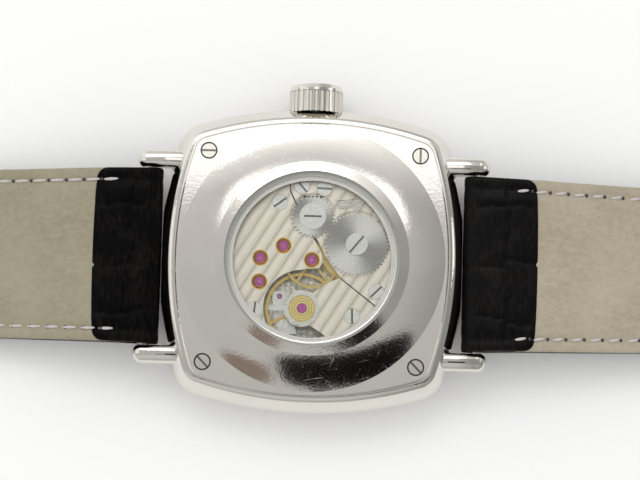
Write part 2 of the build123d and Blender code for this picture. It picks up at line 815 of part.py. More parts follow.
# Hour markers, one for each hour but the one the seconds track takes
with BuildPart() as hour_markers:
    for hour in range(12):
        if hour != 6:
            angle = math.radians(30 * hour)
            length = marker_length * (long_marker_share if hour % 3 == 0 else 1)
            outer = marker_ring_radius + marker_length / 2
            with Locations(Location((outer * math.cos(angle), outer * math.sin(angle),
                                     dial_face - marker_height), (0, 0, 30 * hour))):
                Box(length, marker_width, marker_height, align=(Align.MAX, Align.CENTER, Align.MIN))
save(hour_markers.part, "hour_markers")


def hand(at, level, length, width, turn, hub_outer, bore_radius):
    """Leaf hand: a hub, a swelling blade and a point."""
    tail = length * hand_tail_share
    with BuildSketch(Plane.XY.offset(level)) as blade:
        with BuildLine():
            Polyline((-tail, -width / 4), (0, -width / 3), (length * (1 - hand_tip_share), -width / 2),
                     (length, 0), (length * (1 - hand_tip_share), width / 2), (0, width / 3),
                     (-tail, width / 4), close=True)
        make_face()
    with BuildPart() as shape:
        extrude(blade.sketch, amount=hand_thickness)
        disc(centre_at, level, level + hand_thickness, hub_outer)
        disc(centre_at, level - overrun, level + overrun, bore_radius, Mode.SUBTRACT)
    return Pos(at[0], at[1], 0) * Rot(0, 0, turn) * shape.part


save(hand(centre_at, hour_hand_level, hour_hand_length, hour_hand_width, hour_hand_turn,
          hour_pipe_radius * hour_hub_share, hour_pipe_radius), "hour_hand")
save(hand(centre_at, minute_hand_level, minute_hand_length, minute_hand_width, minute_hand_turn,
          cannon_pipe_radius * minute_hub_share, cannon_pipe_radius), "minute_hand")
save(hand(fourth_at, seconds_hand_level, seconds_hand_length, seconds_hand_width, seconds_hand_turn,
          arbor_radius * seconds_hub_share, arbor_radius), "seconds_hand")

# Turns of the gears, each gap set on a tooth of its neighbour
minute_turn = mesh_turn(centre_at, cannon_teeth, 0, minute_at, minute_teeth)
setting_turn = mesh_turn(minute_at, minute_teeth, minute_turn, setting_at, setting_teeth)
minute_pinion_turn = mesh_turn(centre_at, hour_teeth, 0, minute_at, minute_pinion_teeth)
third_pinion_turn = mesh_turn(centre_at, centre_teeth, 0, third_at, third_pinion_teeth)
fourth_pinion_turn = mesh_turn(third_at, third_teeth, 0, fourth_at, fourth_pinion_teeth)
escape_pinion_turn = mesh_turn(fourth_at, fourth_teeth, 0, escape_at, escape_pinion_teeth)
centre_pinion_turn = mesh_turn(ratchet_at, barrel_teeth, 0, centre_at, centre_pinion_teeth)
crown_wheel_turn = mesh_turn(ratchet_at, ratchet_teeth, 0, crown_wheel_at, crown_wheel_teeth)
motion_bottom = dial_back + motion_level
motion_top = motion_bottom + motion_thickness
hour_bottom = dial_back + hour_level
hour_top = hour_bottom + motion_thickness
jewel_top = bridge_top - jewel_sink

# Motion work
with BuildPart() as cannon_pinion:
    gear(centre_at, motion_bottom, motion_top, cannon_teeth, minute_module, 0)
    disc(centre_at, minute_hand_level, motion_bottom, cannon_pipe_radius)
    disc(centre_at, minute_hand_level - overrun, motion_top + overrun, arbor_radius + running_gap,
         Mode.SUBTRACT)
save(cannon_pinion.part, "cannon_pinion")

with BuildPart() as hour_wheel:
    gear(centre_at, hour_bottom, hour_top, hour_teeth, hour_module, 0)
    disc(centre_at, hour_hand_level, hour_bottom, hour_pipe_radius)
    disc(centre_at, hour_hand_level - overrun, hour_top + overrun, cannon_pipe_radius + running_gap,
         Mode.SUBTRACT)
save(hour_wheel.part, "hour_wheel")

with BuildPart() as minute_wheel:
    gear(minute_at, motion_bottom, motion_top, minute_teeth, minute_module, minute_turn)
    gear(minute_at, hour_bottom - running_gap, motion_bottom, minute_pinion_teeth, hour_module,
         minute_pinion_turn)
    disc(minute_at, hour_bottom - overrun, motion_top + overrun, arbor_radius + running_gap, Mode.SUBTRACT)
save(minute_wheel.part, "minute_wheel")

with BuildPart() as setting_wheel:
    gear(setting_at, motion_bottom, motion_top, setting_teeth, minute_module, setting_turn)
    disc(setting_at, motion_bottom - overrun, motion_top + overrun, arbor_radius + running_gap, Mode.SUBTRACT)
save(setting_wheel.part, "setting_wheel")


def arbor(at, bottom, top):
    """Shaft with a finer pivot at the bridge end."""
    disc(at, bottom, jewel_top - jewel_thickness - running_gap, arbor_radius)
    disc(at, bottom, top, pivot_radius)


# Going train
with BuildPart() as centre_wheel:
    level = dial_back + centre_level
    gear(centre_at, level, level + wheel_thickness, centre_teeth, centre_module, 0)
    crossings(centre_at, level, level + wheel_thickness, centre_module * centre_teeth / 2 - rim_width,
              hub_radius * centre_hub_share, 5, centre_spoke_turn)
    gear(centre_at, dial_back + barrel_floor_height + barrel_flange_height - pinion_overlap, level,
         centre_pinion_teeth, barrel_module, centre_pinion_turn)
    arbor(centre_at, minute_hand_level, jewel_top)
save(centre_wheel.part, "centre_wheel")

with BuildPart() as third_wheel:
    level = dial_back + third_level
    gear(third_at, level, level + wheel_thickness, third_teeth, third_module, 0)
    crossings(third_at, level, level + wheel_thickness, third_module * third_teeth / 2 - rim_width,
              hub_radius, 4, 10)
    gear(third_at, dial_back + centre_level - pinion_overlap,
         dial_back + centre_level + wheel_thickness + pinion_overlap, third_pinion_teeth, centre_module,
         third_pinion_turn)
    arbor(third_at, plate_top - plate_thickness / 4, jewel_top)
save(third_wheel.part, "third_wheel")

with BuildPart() as fourth_wheel:
    level = dial_back + fourth_level
    gear(fourth_at, level, level + wheel_thickness, fourth_teeth, fourth_module, 0)
    crossings(fourth_at, level, level + wheel_thickness, fourth_module * fourth_teeth / 2 - rim_width,
              hub_radius, 4, 30)
    gear(fourth_at, dial_back + third_level - pinion_overlap,
         dial_back + third_level + wheel_thickness + pinion_overlap, fourth_pinion_teeth, third_module,
         fourth_pinion_turn)
    arbor(fourth_at, seconds_hand_level, jewel_top)
save(fourth_wheel.part, "fourth_wheel")

with BuildPart() as escape_wheel:
    level = dial_back + escape_level
    corners = []
    for tooth in range(escape_teeth):
        for radius, share in ((escape_tip_radius, 0), (escape_tip_radius, escape_flat_share),
                              (escape_root_radius, escape_back_share),
                              (escape_root_radius, 1 - escape_lean_share)):
            angle = math.radians((tooth + share) * 360 / escape_teeth)
            corners.append((escape_at[0] + radius * math.cos(angle), escape_at[1] + radius * math.sin(angle)))
    with BuildSketch(Plane.XY.offset(level)):
        with BuildLine():
            Polyline(*corners, close=True)
        make_face()
    extrude(amount=wheel_thickness)
    crossings(escape_at, level, level + wheel_thickness, escape_root_radius - rim_width / 2, hub_radius / 2,
              4, 0, spoke_width * escape_spoke_share)
    gear(escape_at, dial_back + fourth_level - pinion_overlap,
         dial_back + fourth_level + wheel_thickness + pinion_overlap, escape_pinion_teeth, fourth_module,
         escape_pinion_turn)
    arbor(escape_at, plate_top - plate_thickness / 4, jewel_top)
save(escape_wheel.part, "escape_wheel")

# Pallet fork: lever towards the balance, two arms with stones towards the escape wheel
with BuildPart() as pallet_fork:
    level = dial_back + escape_level
    lever_turn = bearing(pallet_at, balance_at)
    escape_turn = bearing(pallet_at, escape_at)
    lever_length = distance(pallet_at, balance_at) - fork_end_gap
    with Locations(Location((pallet_at[0], pallet_at[1], level), (0, 0, lever_turn))):
        Box(lever_length, fork_lever_width, wheel_thickness, align=(Align.MIN, Align.CENTER, Align.MIN))
    with Locations(Location((pallet_at[0], pallet_at[1], level), (0, 0, lever_turn))):
        with Locations((lever_length, 0, 0)):
            Box(4 * impulse_pin_radius, 2 * impulse_pin_radius + running_gap, 3 * wheel_thickness,
                mode=Mode.SUBTRACT)
    for side in (1, -1):
        arm_turn = escape_turn + side * fork_arm_turn
        with Locations(Location((pallet_at[0], pallet_at[1], level), (0, 0, arm_turn))):
            Box(fork_arm_length, fork_lever_width, wheel_thickness,
                align=(Align.MIN, Align.CENTER, Align.MIN))
        end = (pallet_at[0] + fork_arm_length * math.cos(math.radians(arm_turn)),
               pallet_at[1] + fork_arm_length * math.sin(math.radians(arm_turn)))
        with Locations(Location((end[0], end[1], level), (0, 0, bearing(end, escape_at)))):
            Box(fork_stone_length, fork_stone_width, wheel_thickness,
                align=(Align.MIN, Align.CENTER, Align.MIN))
    disc(pallet_at, plate_top - plate_thickness / 4, dial_back + pallet_cock_level + pallet_cock_thickness,
         pivot_radius)
    disc(pallet_at, level, level + wheel_thickness, fork_lever_width)
save(pallet_fork.part, "pallet_fork")

# Balance: rim, arm, staff, collet, roller and impulse pin
with BuildPart() as balance_wheel:
    level = dial_back + balance_level
    disc(balance_at, level, level + balance_rim_thickness, balance_rim_radius)
    disc(balance_at, level, level + balance_rim_thickness, balance_rim_radius - balance_rim_width,
         Mode.SUBTRACT)
    with Locations(Location((balance_at[0], balance_at[1], level), (0, 0, balance_arm_turn))):
        Box(2 * balance_rim_radius - balance_rim_width, balance_arm_width, balance_rim_thickness / 2,
            align=(Align.CENTER, Align.CENTER, Align.MIN))
    disc(balance_at, plate_top - plate_thickness / 4, jewel_top, pivot_radius)
    disc(balance_at, plate_top + running_gap, dial_back + hairspring_level + hairspring_thickness,
         arbor_radius)
    disc(balance_at, dial_back + hairspring_level, dial_back + hairspring_level + hairspring_thickness,
         hairspring_inner_radius - running_gap)
    disc(balance_at, dial_back + escape_level + wheel_thickness + running_gap,
         dial_back + escape_level + wheel_thickness + running_gap + roller_thickness, roller_radius)
    pin_angle = math.radians(bearing(balance_at, pallet_at))
    disc((balance_at[0] + impulse_pin_place * math.cos(pin_angle),
          balance_at[1] + impulse_pin_place * math.sin(pin_angle)),
         dial_back + escape_level, dial_back + escape_level + wheel_thickness + running_gap,
         impulse_pin_radius)
    disc(balance_at, level, level + balance_rim_thickness, roller_radius)
save(balance_wheel.part, "balance_wheel")

# Hairspring: a flat strip wound in half circles that grow by half the pitch
with BuildPart() as hairspring:
    with BuildSketch(Plane.XY.offset(dial_back + hairspring_level)):
        with Locations(balance_at):
            for half in range(2 * hairspring_turns):
                radius = hairspring_inner_radius + (2 * half + 1) * hairspring_pitch / 4
                side = 1 if half % 2 == 0 else -1
                with Locations((side * hairspring_pitch / 4, 0)):
                    with BuildSketch(mode=Mode.PRIVATE) as strip:
                        Circle(radius + hairspring_strip / 2)
                        Circle(radius - hairspring_strip / 2, mode=Mode.SUBTRACT)
                        with Locations((0, -side * 2 * radius)):
                            Rectangle(4 * radius, 4 * radius, mode=Mode.SUBTRACT)
                    add(strip.sketch)
    extrude(amount=hairspring_thickness)
print("hairspring gap between turns", round(hairspring_pitch - hairspring_strip, 3))
save(hairspring.part, "hairspring")

# Barrel: drum with toothed flange, lid, spring and arbor
drum_bottom = dial_back + barrel_floor_height
drum_top = drum_bottom + barrel_height
with BuildPart() as barrel_drum:
    disc(ratchet_at, drum_bottom, drum_top - barrel_lid, barrel_drum_radius)
    gear(ratchet_at, drum_bottom + barrel_flange_height,
         drum_bottom + barrel_flange_height + barrel_flange_thickness, barrel_teeth, barrel_module, 0)
    disc(ratchet_at, drum_bottom + barrel_floor, drum_top, barrel_drum_radius - barrel_wall, Mode.SUBTRACT)
    disc(ratchet_at, drum_bottom - overrun, drum_top, barrel_arbor_radius / 2 + running_gap, Mode.SUBTRACT)
save(barrel_drum.part, "barrel_drum")

with BuildPart() as barrel_cover:
    disc(ratchet_at, drum_top - barrel_lid, drum_top, barrel_drum_radius)
    disc(ratchet_at, drum_top - barrel_lid - overrun, drum_top + overrun, barrel_arbor_radius + running_gap,
         Mode.SUBTRACT)
save(barrel_cover.part, "barrel_cover")

with BuildPart() as mainspring:
    spring_outer = barrel_drum_radius - barrel_wall - running_gap
    disc(ratchet_at, drum_bottom + barrel_floor + running_gap, drum_top - barrel_lid - running_gap,
         spring_outer)
    disc(ratchet_at, drum_bottom, drum_top, mainspring_inner_radius, Mode.SUBTRACT)
save(mainspring.part, "mainspring")

with BuildPart() as barrel_arbor:
    disc(ratchet_at, drum_bottom - running_gap, winding_top, barrel_arbor_radius / 2)
    disc(ratchet_at, drum_bottom + barrel_floor + running_gap, winding_bottom, barrel_arbor_radius)
    slotted_screw(ratchet_at, winding_top + ratchet_screw_height, ratchet_screw_radius, ratchet_screw_height,
                  barrel_arbor_radius / 2, winding_bottom, ratchet_screw_turn)
save(barrel_arbor.part, "barrel_arbor")

# Winding wheels on the barrel bridge
with BuildPart() as ratchet_wheel:
    gear(ratchet_at, winding_bottom, winding_top, ratchet_teeth, winding_module, 0)
    disc(ratchet_at, winding_bottom - overrun, winding_top + overrun, barrel_arbor_radius / 2, Mode.SUBTRACT)
save(ratchet_wheel.part, "ratchet_wheel")

with BuildPart() as crown_wheel:
    gear(crown_wheel_at, winding_bottom, winding_top, crown_wheel_teeth, winding_module, crown_wheel_turn)
    disc(crown_wheel_at, winding_bottom - overrun, winding_top + overrun, crown_core_hub_radius + running_gap,
         Mode.SUBTRACT)
save(crown_wheel.part, "crown_wheel")

with BuildPart() as crown_wheel_core:
    disc(crown_wheel_at, winding_bottom, winding_top + running_gap, crown_core_hub_radius)
    disc(crown_wheel_at, winding_top + running_gap, winding_top + running_gap + crown_core_thickness,
         crown_core_radius)
    disc(crown_wheel_at, winding_bottom - screw_depth / 2, winding_bottom, screw_shank_radius)
    core_top = winding_top + running_gap + crown_core_thickness
    disc(crown_wheel_at, core_top, core_top + screw_stand, crown_screw_radius)
    slot(crown_wheel_at, core_top + screw_stand, 0, 2 * crown_screw_radius + slot_width)
save(crown_wheel_core.part, "crown_wheel_core")

# Click: a round body with a nose in the ratchet teeth and a tail, and the strip that springs the tail
click_bottom = winding_bottom + running_gap
click_top = winding_top - running_gap
click_nose_turn = bearing(click_at, ratchet_at)
click_reach = distance(click_at, ratchet_at) - winding_module * (ratchet_teeth / 2 - click_depth_share)
with BuildPart() as click:
    disc(click_at, click_bottom, click_top, click_radius)
    with BuildSketch(Plane.XY.offset(click_bottom)):
        with BuildLine():
            Polyline(beside(click_at, click_nose_turn, 0, click_nose_width),
                     beside(click_at, click_nose_turn, click_reach, 0),
                     beside(click_at, click_nose_turn, 0, -click_nose_width), close=True)
        make_face()
    extrude(amount=click_top - click_bottom)
    with Locations(Location((click_at[0], click_at[1], click_bottom), (0, 0, click_tail_turn))):
        Box(click_tail_length, click_tail_width, click_top - click_bottom,
            align=(Align.MIN, Align.CENTER, Align.MIN))
    slotted_screw(click_at, click_top + screw_stand, click_radius * click_screw_share, screw_stand,
                  pivot_radius, click_bottom, 40)
save(click.part, "click")

with BuildPart() as click_spring:
    strip_side = click_tail_width / 2 + click_gap
    with Locations(Location((click_at[0], click_at[1], winding_bottom), (0, 0, click_tail_turn + 180))):
        with Locations((-click_tail_length, strip_side)):
            Box(click_tail_length - click_radius, click_spring_width,
                winding_wheel_thickness * click_strip_share, align=(Align.MIN, Align.MIN, Align.MIN))
save(click_spring.part, "click_spring")

# Main plate with its pockets
pinion_room = winding_pinion_radius + keyless_room
with BuildPart() as main_plate:
    disc(centre_at, dial_back, plate_top, movement_radius)
    disc(ratchet_at, drum_bottom - running_gap, plate_top + overrun, barrel_drum_radius + running_gap * 2,
         Mode.SUBTRACT)
    disc(ratchet_at, dial_back, plate_top, barrel_arbor_radius / 2 + running_gap, Mode.SUBTRACT)
    for at, teeth, module in ((centre_at, hour_teeth, hour_module), (minute_at, minute_teeth, minute_module),
                              (setting_at, setting_teeth, minute_module)):
        disc(at, dial_back - overrun, dial_back + pocket_depth, tip_radius(teeth, module) + keyless_room,
             Mode.SUBTRACT)
    for at in (minute_at, setting_at):
        disc(at, dial_back + hour_level, dial_back + pocket_depth, arbor_radius)
    disc(centre_at, dial_back, plate_top + overrun, arbor_radius + arbor_room, Mode.SUBTRACT)
    disc(fourth_at, dial_back - overrun, plate_top + overrun, arbor_radius + arbor_room, Mode.SUBTRACT)
    for at in (third_at, escape_at, pallet_at, balance_at):
        disc(at, plate_top - plate_thickness / 4, plate_top + overrun, arbor_radius + pivot_radius / 2,
             Mode.SUBTRACT)
    rod(0, stem_height, stem_inner_end - overrun / 4, movement_radius + overrun, stem_radius + keyless_room,
        Mode.SUBTRACT)
    with Locations((0, winding_pinion_place + winding_pinion_length / 2, plate_top)):
        Box(2 * pinion_room, winding_pinion_length + 2 * keyless_room, 2 * plate_thickness + overrun,
            mode=Mode.SUBTRACT)
    with Locations((0, sliding_pinion_place - sliding_pinion_shift - keyless_room, plate_top)):
        Box(2 * (sliding_pinion_radius + keyless_room),
            sliding_pinion_length + sliding_pinion_shift + 2 * keyless_room, 2 * plate_thickness + overrun,
            align=(Align.CENTER, Align.MIN, Align.CENTER), mode=Mode.SUBTRACT)
    for share in dial_foot_shares:
        disc(place(share), dial_back - overrun, dial_back + dial_foot_length, dial_foot_radius, Mode.SUBTRACT)
    for share in train_screw_shares + barrel_screw_shares + (cock_screw_share, pallet_screw_share):
        disc(place(share), plate_top - screw_depth, plate_top + overrun, screw_shank_radius, Mode.SUBTRACT)
save(main_plate.part, "main_plate")


def bridge(shares, screw_shares, rooms):
    """Bridge plate with outer feet, posts under its screws and sunk screw seats."""
    outer = movement_radius - bridge_inset
    with BuildPart() as body:
        extrude(outline_sketch(shares, bridge_bottom), amount=bridge_thickness)
        disc(centre_at, bridge_bottom, bridge_top, outer, Mode.INTERSECT)
        with BuildPart(mode=Mode.PRIVATE) as feet:
            extrude(outline_sketch(shares, plate_top), amount=train_space)
            disc(centre_at, plate_top, bridge_bottom, outer, Mode.INTERSECT)
            disc(centre_at, plate_top, bridge_bottom, outer - foot_ring_width, Mode.SUBTRACT)
        add(feet.part)
        for share in screw_shares:
            disc(place(share), plate_top, bridge_bottom, foot_post_radius)
        for at, radius in rooms:
            disc(at, plate_top, bridge_bottom, radius, Mode.SUBTRACT)
        rod(0, stem_height, stem_inner_end - overrun, movement_radius + overrun, stem_radius + keyless_room,
            Mode.SUBTRACT)
        with Locations((0, winding_pinion_place + winding_pinion_length / 2, stem_height)):
            Box(2 * pinion_room, winding_pinion_length + 2 * keyless_room, 2 * (winding_bottom - stem_height),
                mode=Mode.SUBTRACT)
        for share in screw_shares:
            screw_seat(place(share), screw_head_radius)
    return body.part


def screw_seat(at, head_radius):
    """Sunk seat and hole for a bridge screw."""
    disc(at, bridge_top + screw_stand - screw_head_height, bridge_top + overrun, head_radius + screw_room,
         Mode.SUBTRACT)
    disc(at, plate_top - overrun / 2, bridge_top, screw_shank_radius, Mode.SUBTRACT)


def jewel_seat(at):
    """Hole for a jewel setting, with room for the arbor under it."""
    disc(at, bridge_top - setting_thickness, bridge_top + overrun, setting_radius, Mode.SUBTRACT)
    disc(at, bridge_bottom - overrun / 4, bridge_top, arbor_radius + arbor_room, Mode.SUBTRACT)


barrel_clear = tip_radius(barrel_teeth, barrel_module) + barrel_room
balance_clear = balance_rim_radius + balance_room
crown_sink = tip_radius(crown_wheel_teeth, winding_module) + wheel_sink_room
ratchet_sink = tip_radius(ratchet_teeth, winding_module) + wheel_sink_room
sink_floor = winding_bottom - running_gap
with BuildPart() as train_bridge:
    add(bridge(train_edge_shares, train_screw_shares, ()))
    disc(balance_at, plate_top, bridge_top + overrun, balance_clear, Mode.SUBTRACT)
    disc(crown_wheel_at, sink_floor, bridge_top + overrun, crown_sink, Mode.SUBTRACT)
    for at in (centre_at, third_at, fourth_at, escape_at):
        jewel_seat(at)
save(train_bridge.part, "train_bridge")

with BuildPart() as barrel_bridge:
    add(bridge(barrel_edge_shares, barrel_screw_shares, ((ratchet_at, barrel_clear),)))
    disc(crown_wheel_at, sink_floor, bridge_top + overrun, crown_sink, Mode.SUBTRACT)
    disc(crown_wheel_at, bridge_bottom - overrun, bridge_top, screw_shank_radius, Mode.SUBTRACT)
    disc(ratchet_at, sink_floor, bridge_top + overrun, ratchet_sink, Mode.SUBTRACT)
    disc(ratchet_at, bridge_bottom - overrun, bridge_top, barrel_arbor_radius + running_gap, Mode.SUBTRACT)
    disc(click_at, winding_bottom, bridge_top + overrun, click_radius + click_room, Mode.SUBTRACT)
    with Locations(Location((click_at[0], click_at[1], winding_bottom), (0, 0, click_tail_turn + 180))):
        with Locations((0, -click_tail_width / 2 - click_room)):
            Box(click_tail_length + click_room,
                click_tail_width + click_gap + click_spring_width + 2 * click_room, bridge_thickness,
                align=(Align.MAX, Align.MIN, Align.MIN), mode=Mode.SUBTRACT)
    disc(click_at, bridge_bottom + screw_depth / 2, winding_bottom + running_gap, pivot_radius)
save(barrel_bridge.part, "barrel_bridge")

with BuildPart() as balance_cock:
    outer = movement_radius - bridge_inset
    extrude(outline_sketch(cock_edge_shares, bridge_bottom), amount=bridge_thickness)
    disc(centre_at, bridge_bottom, bridge_top, outer, Mode.INTERSECT)
    disc(balance_at, bridge_bottom, bridge_top, cock_nose_radius)
    with BuildPart(mode=Mode.PRIVATE) as cock_foot:
        extrude(outline_sketch(cock_edge_shares, plate_top), amount=train_space)
        disc(centre_at, plate_top, bridge_bottom, outer, Mode.INTERSECT)
        disc(balance_at, plate_top, bridge_bottom, balance_clear, Mode.SUBTRACT)
        disc(ratchet_at, plate_top, bridge_bottom, barrel_clear, Mode.SUBTRACT)
        disc(centre_at, plate_top, bridge_bottom, tip_radius(centre_teeth, centre_module) + balance_room,
             Mode.SUBTRACT)
    add(cock_foot.part)
    screw_seat(place(cock_screw_share), screw_head_radius)
    disc(balance_at, bridge_bottom - overrun / 4, bridge_top, arbor_radius + arbor_room, Mode.SUBTRACT)
save(balance_cock.part, "balance_cock")

cock_level = dial_back + pallet_cock_level
with BuildPart() as pallet_cock:
    extrude(outline_sketch(pallet_cock_shares, cock_level), amount=pallet_cock_thickness)
    disc(place(pallet_screw_share), plate_top, cock_level + pallet_cock_thickness, foot_post_radius)
    disc(pallet_at, cock_level, cock_level + pallet_cock_thickness, jewel_radius)
    disc(pallet_at, cock_level - overrun / 4, cock_level + overrun, jewel_radius * pallet_jewel_share,
         Mode.SUBTRACT)
    disc(place(pallet_screw_share), plate_top, cock_level + overrun, screw_shank_radius, Mode.SUBTRACT)
save(pallet_cock.part, "pallet_cock")

# Bridge screws, one kind for the three bridges and a smaller one for the pallet cock
with BuildPart() as bridge_screws:
    turn = first_screw_turn
    for share in train_screw_shares + barrel_screw_shares + (cock_screw_share,):
        slotted_screw(place(share), bridge_top + screw_stand, screw_head_radius, screw_head_height,
                      screw_shank_radius, plate_top - screw_depth, turn)
        turn += screw_turn_step
    slotted_screw(place(pallet_screw_share), cock_level + pallet_cock_thickness + screw_stand,
                  small_screw_radius, screw_stand, screw_shank_radius, plate_top - screw_depth,
                  pallet_screw_turn)
save(bridge_screws.part, "bridge_screws")

# Gilt settings and cap, and the jewels that they hold
with BuildPart() as jewel_settings:
    for at in (centre_at, third_at, fourth_at, escape_at):
        disc(at, bridge_top - setting_thickness, bridge_top, setting_radius)
        disc(at, bridge_top - setting_thickness - overrun, bridge_top + overrun, jewel_radius, Mode.SUBTRACT)
    rims = jewel_settings.edges().filter_by(GeomType.CIRCLE).group_by(Axis.Z)[-1]
    chamfer(rims.sort_by(SortBy.RADIUS)[:4], jewel_sink)
    disc(balance_at, bridge_top, bridge_top + cap_thickness, cap_radius)
    disc(balance_at, bridge_top + cap_thickness, bridge_top + cap_thickness + jewel_sink, cap_seat_radius)
    disc(balance_at, bridge_top - overrun, bridge_top + overrun, jewel_radius, Mode.SUBTRACT)
save(jewel_settings.part, "jewel_settings")

with BuildPart() as jewels:
    for at in (centre_at, third_at, fourth_at, escape_at):
        disc(at, jewel_top - jewel_thickness, jewel_top, jewel_radius)
        disc(at, jewel_top - overrun, jewel_top + overrun, jewel_bore_radius, Mode.SUBTRACT)
    disc(pallet_at, cock_level, cock_level + pallet_cock_thickness, jewel_radius * pallet_jewel_share)
    disc(pallet_at, cock_level - overrun, cock_level + overrun, jewel_bore_radius, Mode.SUBTRACT)
    disc(balance_at, bridge_top, bridge_top + cap_thickness + jewel_sink, jewel_radius)
save(jewels.part, "jewels")

# Regulator on the balance cock, round the gilt cap
with BuildPart() as regulator:
    disc(balance_at, bridge_top, bridge_top + regulator_thickness, regulator_ring_radius)
    with BuildSketch(Plane.XY.offset(bridge_top)):
        with Locations(balance_at):
            with Locations((-(regulator_arm_length - regulator_arm_width / 2), 0)):
                Circle(regulator_arm_width / 2)
            with Locations((-(regulator_arm_length - regulator_arm_width / 2) / 2, 0)):
                Rectangle(regulator_arm_length - regulator_arm_width / 2, regulator_arm_width)
    extrude(amount=regulator_thickness)
    disc(balance_at, bridge_top, bridge_top + regulator_thickness, cap_radius + running_gap, Mode.SUBTRACT)
save(regulator.part, "regulator")

# Spring bars between the lugs
with BuildPart() as spring_bars:
    for side in (1, -1):
        rod(side * lug_reach, bar_height, -lug_inner, lug_inner, bar_radius)
        rod(side * lug_reach, bar_height, -lug_inner - bar_pin_length, lug_inner + bar_pin_length,
            bar_pin_radius)
save(spring_bars.part, "spring_bars")


def fall_line(side, start_height, end_height):
    """Points of a surface of the strap as it comes down from the lugs."""
    return [(side * (lug_reach + run * strap_fall_run), end_height + height * (start_height - end_height))
            for run, height in zip(fall_run_shares, fall_height_shares)]


def strap_body(side, length, rest_height, round_end):
    """Whole strap half: nose round the spring bar, fall to its lying height, tapered plan."""
    top_height = rest_height + strap_end_thickness
    middle = rest_height + strap_end_thickness / 2
    nose_top = (side * lug_reach, bar_height + strap_nose_radius)
    nose_bottom = (side * lug_reach, bar_height - strap_nose_radius)
    end_x = side * (lug_reach + length)
    fall_x = side * (lug_reach + strap_fall_run)
    level_run = ((side, 0), (side, 0))
    with BuildPart() as body:
        with BuildSketch(Plane.XZ):
            with BuildLine():
                ThreePointArc(nose_top, (side * (lug_reach - strap_nose_radius), bar_height), nose_bottom)
                Spline(*fall_line(side, nose_bottom[1], rest_height), tangents=level_run)
                Line((fall_x, rest_height), (end_x, rest_height))
                if round_end:
                    Line((end_x, rest_height), (end_x, top_height))
                else:
                    ThreePointArc((end_x, rest_height), (end_x + side * strap_end_thickness / 2, middle),
                                  (end_x, top_height))
                Line((end_x, top_height), (fall_x, top_height))
                Spline(*fall_line(side, nose_top[1], top_height), tangents=level_run)
            make_face()
        extrude(amount=strap_width, both=True)
        start_x = side * (lug_reach - strap_nose_radius - overrun)
        half = strap_width / 2
        end_half = strap_end_width / 2
        with BuildSketch(Plane.XY.offset(-overrun)):
            with BuildLine():
                if round_end:
                    tip_x = end_x - side * strap_tip_length
                    Polyline((tip_x, -end_half), (start_x, -half), (start_x, half), (tip_x, end_half))
                    ThreePointArc((tip_x, end_half), (end_x, 0), (tip_x, -end_half))
                else:
                    far_x = end_x + side * strap_end_thickness
                    Polyline((far_x, -end_half), (start_x, -half), (start_x, half), (far_x, end_half),
                             close=True)
            make_face()
        extrude(amount=bar_height + strap_nose_radius + 2 * overrun, mode=Mode.INTERSECT)
        rod(side * lug_reach, bar_height, -strap_width, strap_width, bar_radius + bar_room, Mode.SUBTRACT)
    return body.part


def lining_zone(side, length, rest_height):
    """Space above the line where the lining meets the leather, from the end of the wrap outward."""
    start_height = bar_height + strap_nose_radius - lining_thickness
    end_height = rest_height + strap_end_thickness - lining_thickness
    wrap_x = side * (lug_reach + wrap_length)
    fall_x = side * (lug_reach + strap_fall_run)
    zone_x = side * (lug_reach + length - strap_end_thickness)
    top = bar_height + strap_nose_radius + overrun
    with BuildPart() as zone:
        with BuildSketch(Plane.XZ):
            with BuildLine():
                Spline(*fall_line(side, start_height, end_height), tangents=((side, 0), (side, 0)))
                Polyline((fall_x, end_height), (zone_x, end_height), (zone_x, top), (side * lug_reach, top),
                         (side * lug_reach, start_height))
            make_face()
            with Locations((wrap_x, 0)):
                Rectangle(2 * wrap_length, 4 * top,
                          align=(Align.MAX if side > 0 else Align.MIN, Align.CENTER), mode=Mode.SUBTRACT)
        extrude(amount=strap_width, both=True)
    return zone.part


# Long strap half at 6 o'clock, with its holes
long_zone = lining_zone(-1, strap_long_length, 0)
with BuildPart() as long_whole:
    add(strap_body(-1, strap_long_length, 0, True))
    for hole in range(strap_hole_count):
        disc((-(lug_reach + strap_long_length - strap_first_hole - hole * strap_hole_pitch), 0), -overrun,
             strap_end_thickness + overrun, strap_hole_radius, Mode.SUBTRACT)
save(long_whole.part - long_zone, "strap_long_leather")
save(long_whole.part & long_zone, "strap_long_lining")

# Short strap half at 12 o'clock, whose end wraps the buckle bar
short_zone = lining_zone(1, strap_short_length, strap_rest_height)
buckle_x = lug_reach + strap_short_length
buckle_z = strap_rest_height + strap_end_thickness / 2
slot_half = tongue_width / 2 + tongue_slot_room
with BuildPart() as short_whole:
    add(strap_body(1, strap_short_length, strap_rest_height, False))
    rod(buckle_x, buckle_z, -strap_width, strap_width, buckle_bar_radius + bar_room, Mode.SUBTRACT)
    with Locations((buckle_x - strap_end_thickness, 0, buckle_z)):
        Box(2 * strap_end_thickness + overrun, 2 * slot_half, 2 * strap_end_thickness,
            align=(Align.MIN, Align.CENTER, Align.CENTER), mode=Mode.SUBTRACT)
save(short_whole.part - short_zone, "strap_short_leather")
save(short_whole.part & short_zone, "strap_short_lining")


def half_width_at(run):
    """Half of the short strap's width at a distance from the spring bar."""
    reach = strap_short_length + strap_nose_radius + overrun + strap_end_thickness
    share = (run + strap_nose_radius + overrun) / reach
    return (strap_width + share * (strap_end_width - strap_width)) / 2


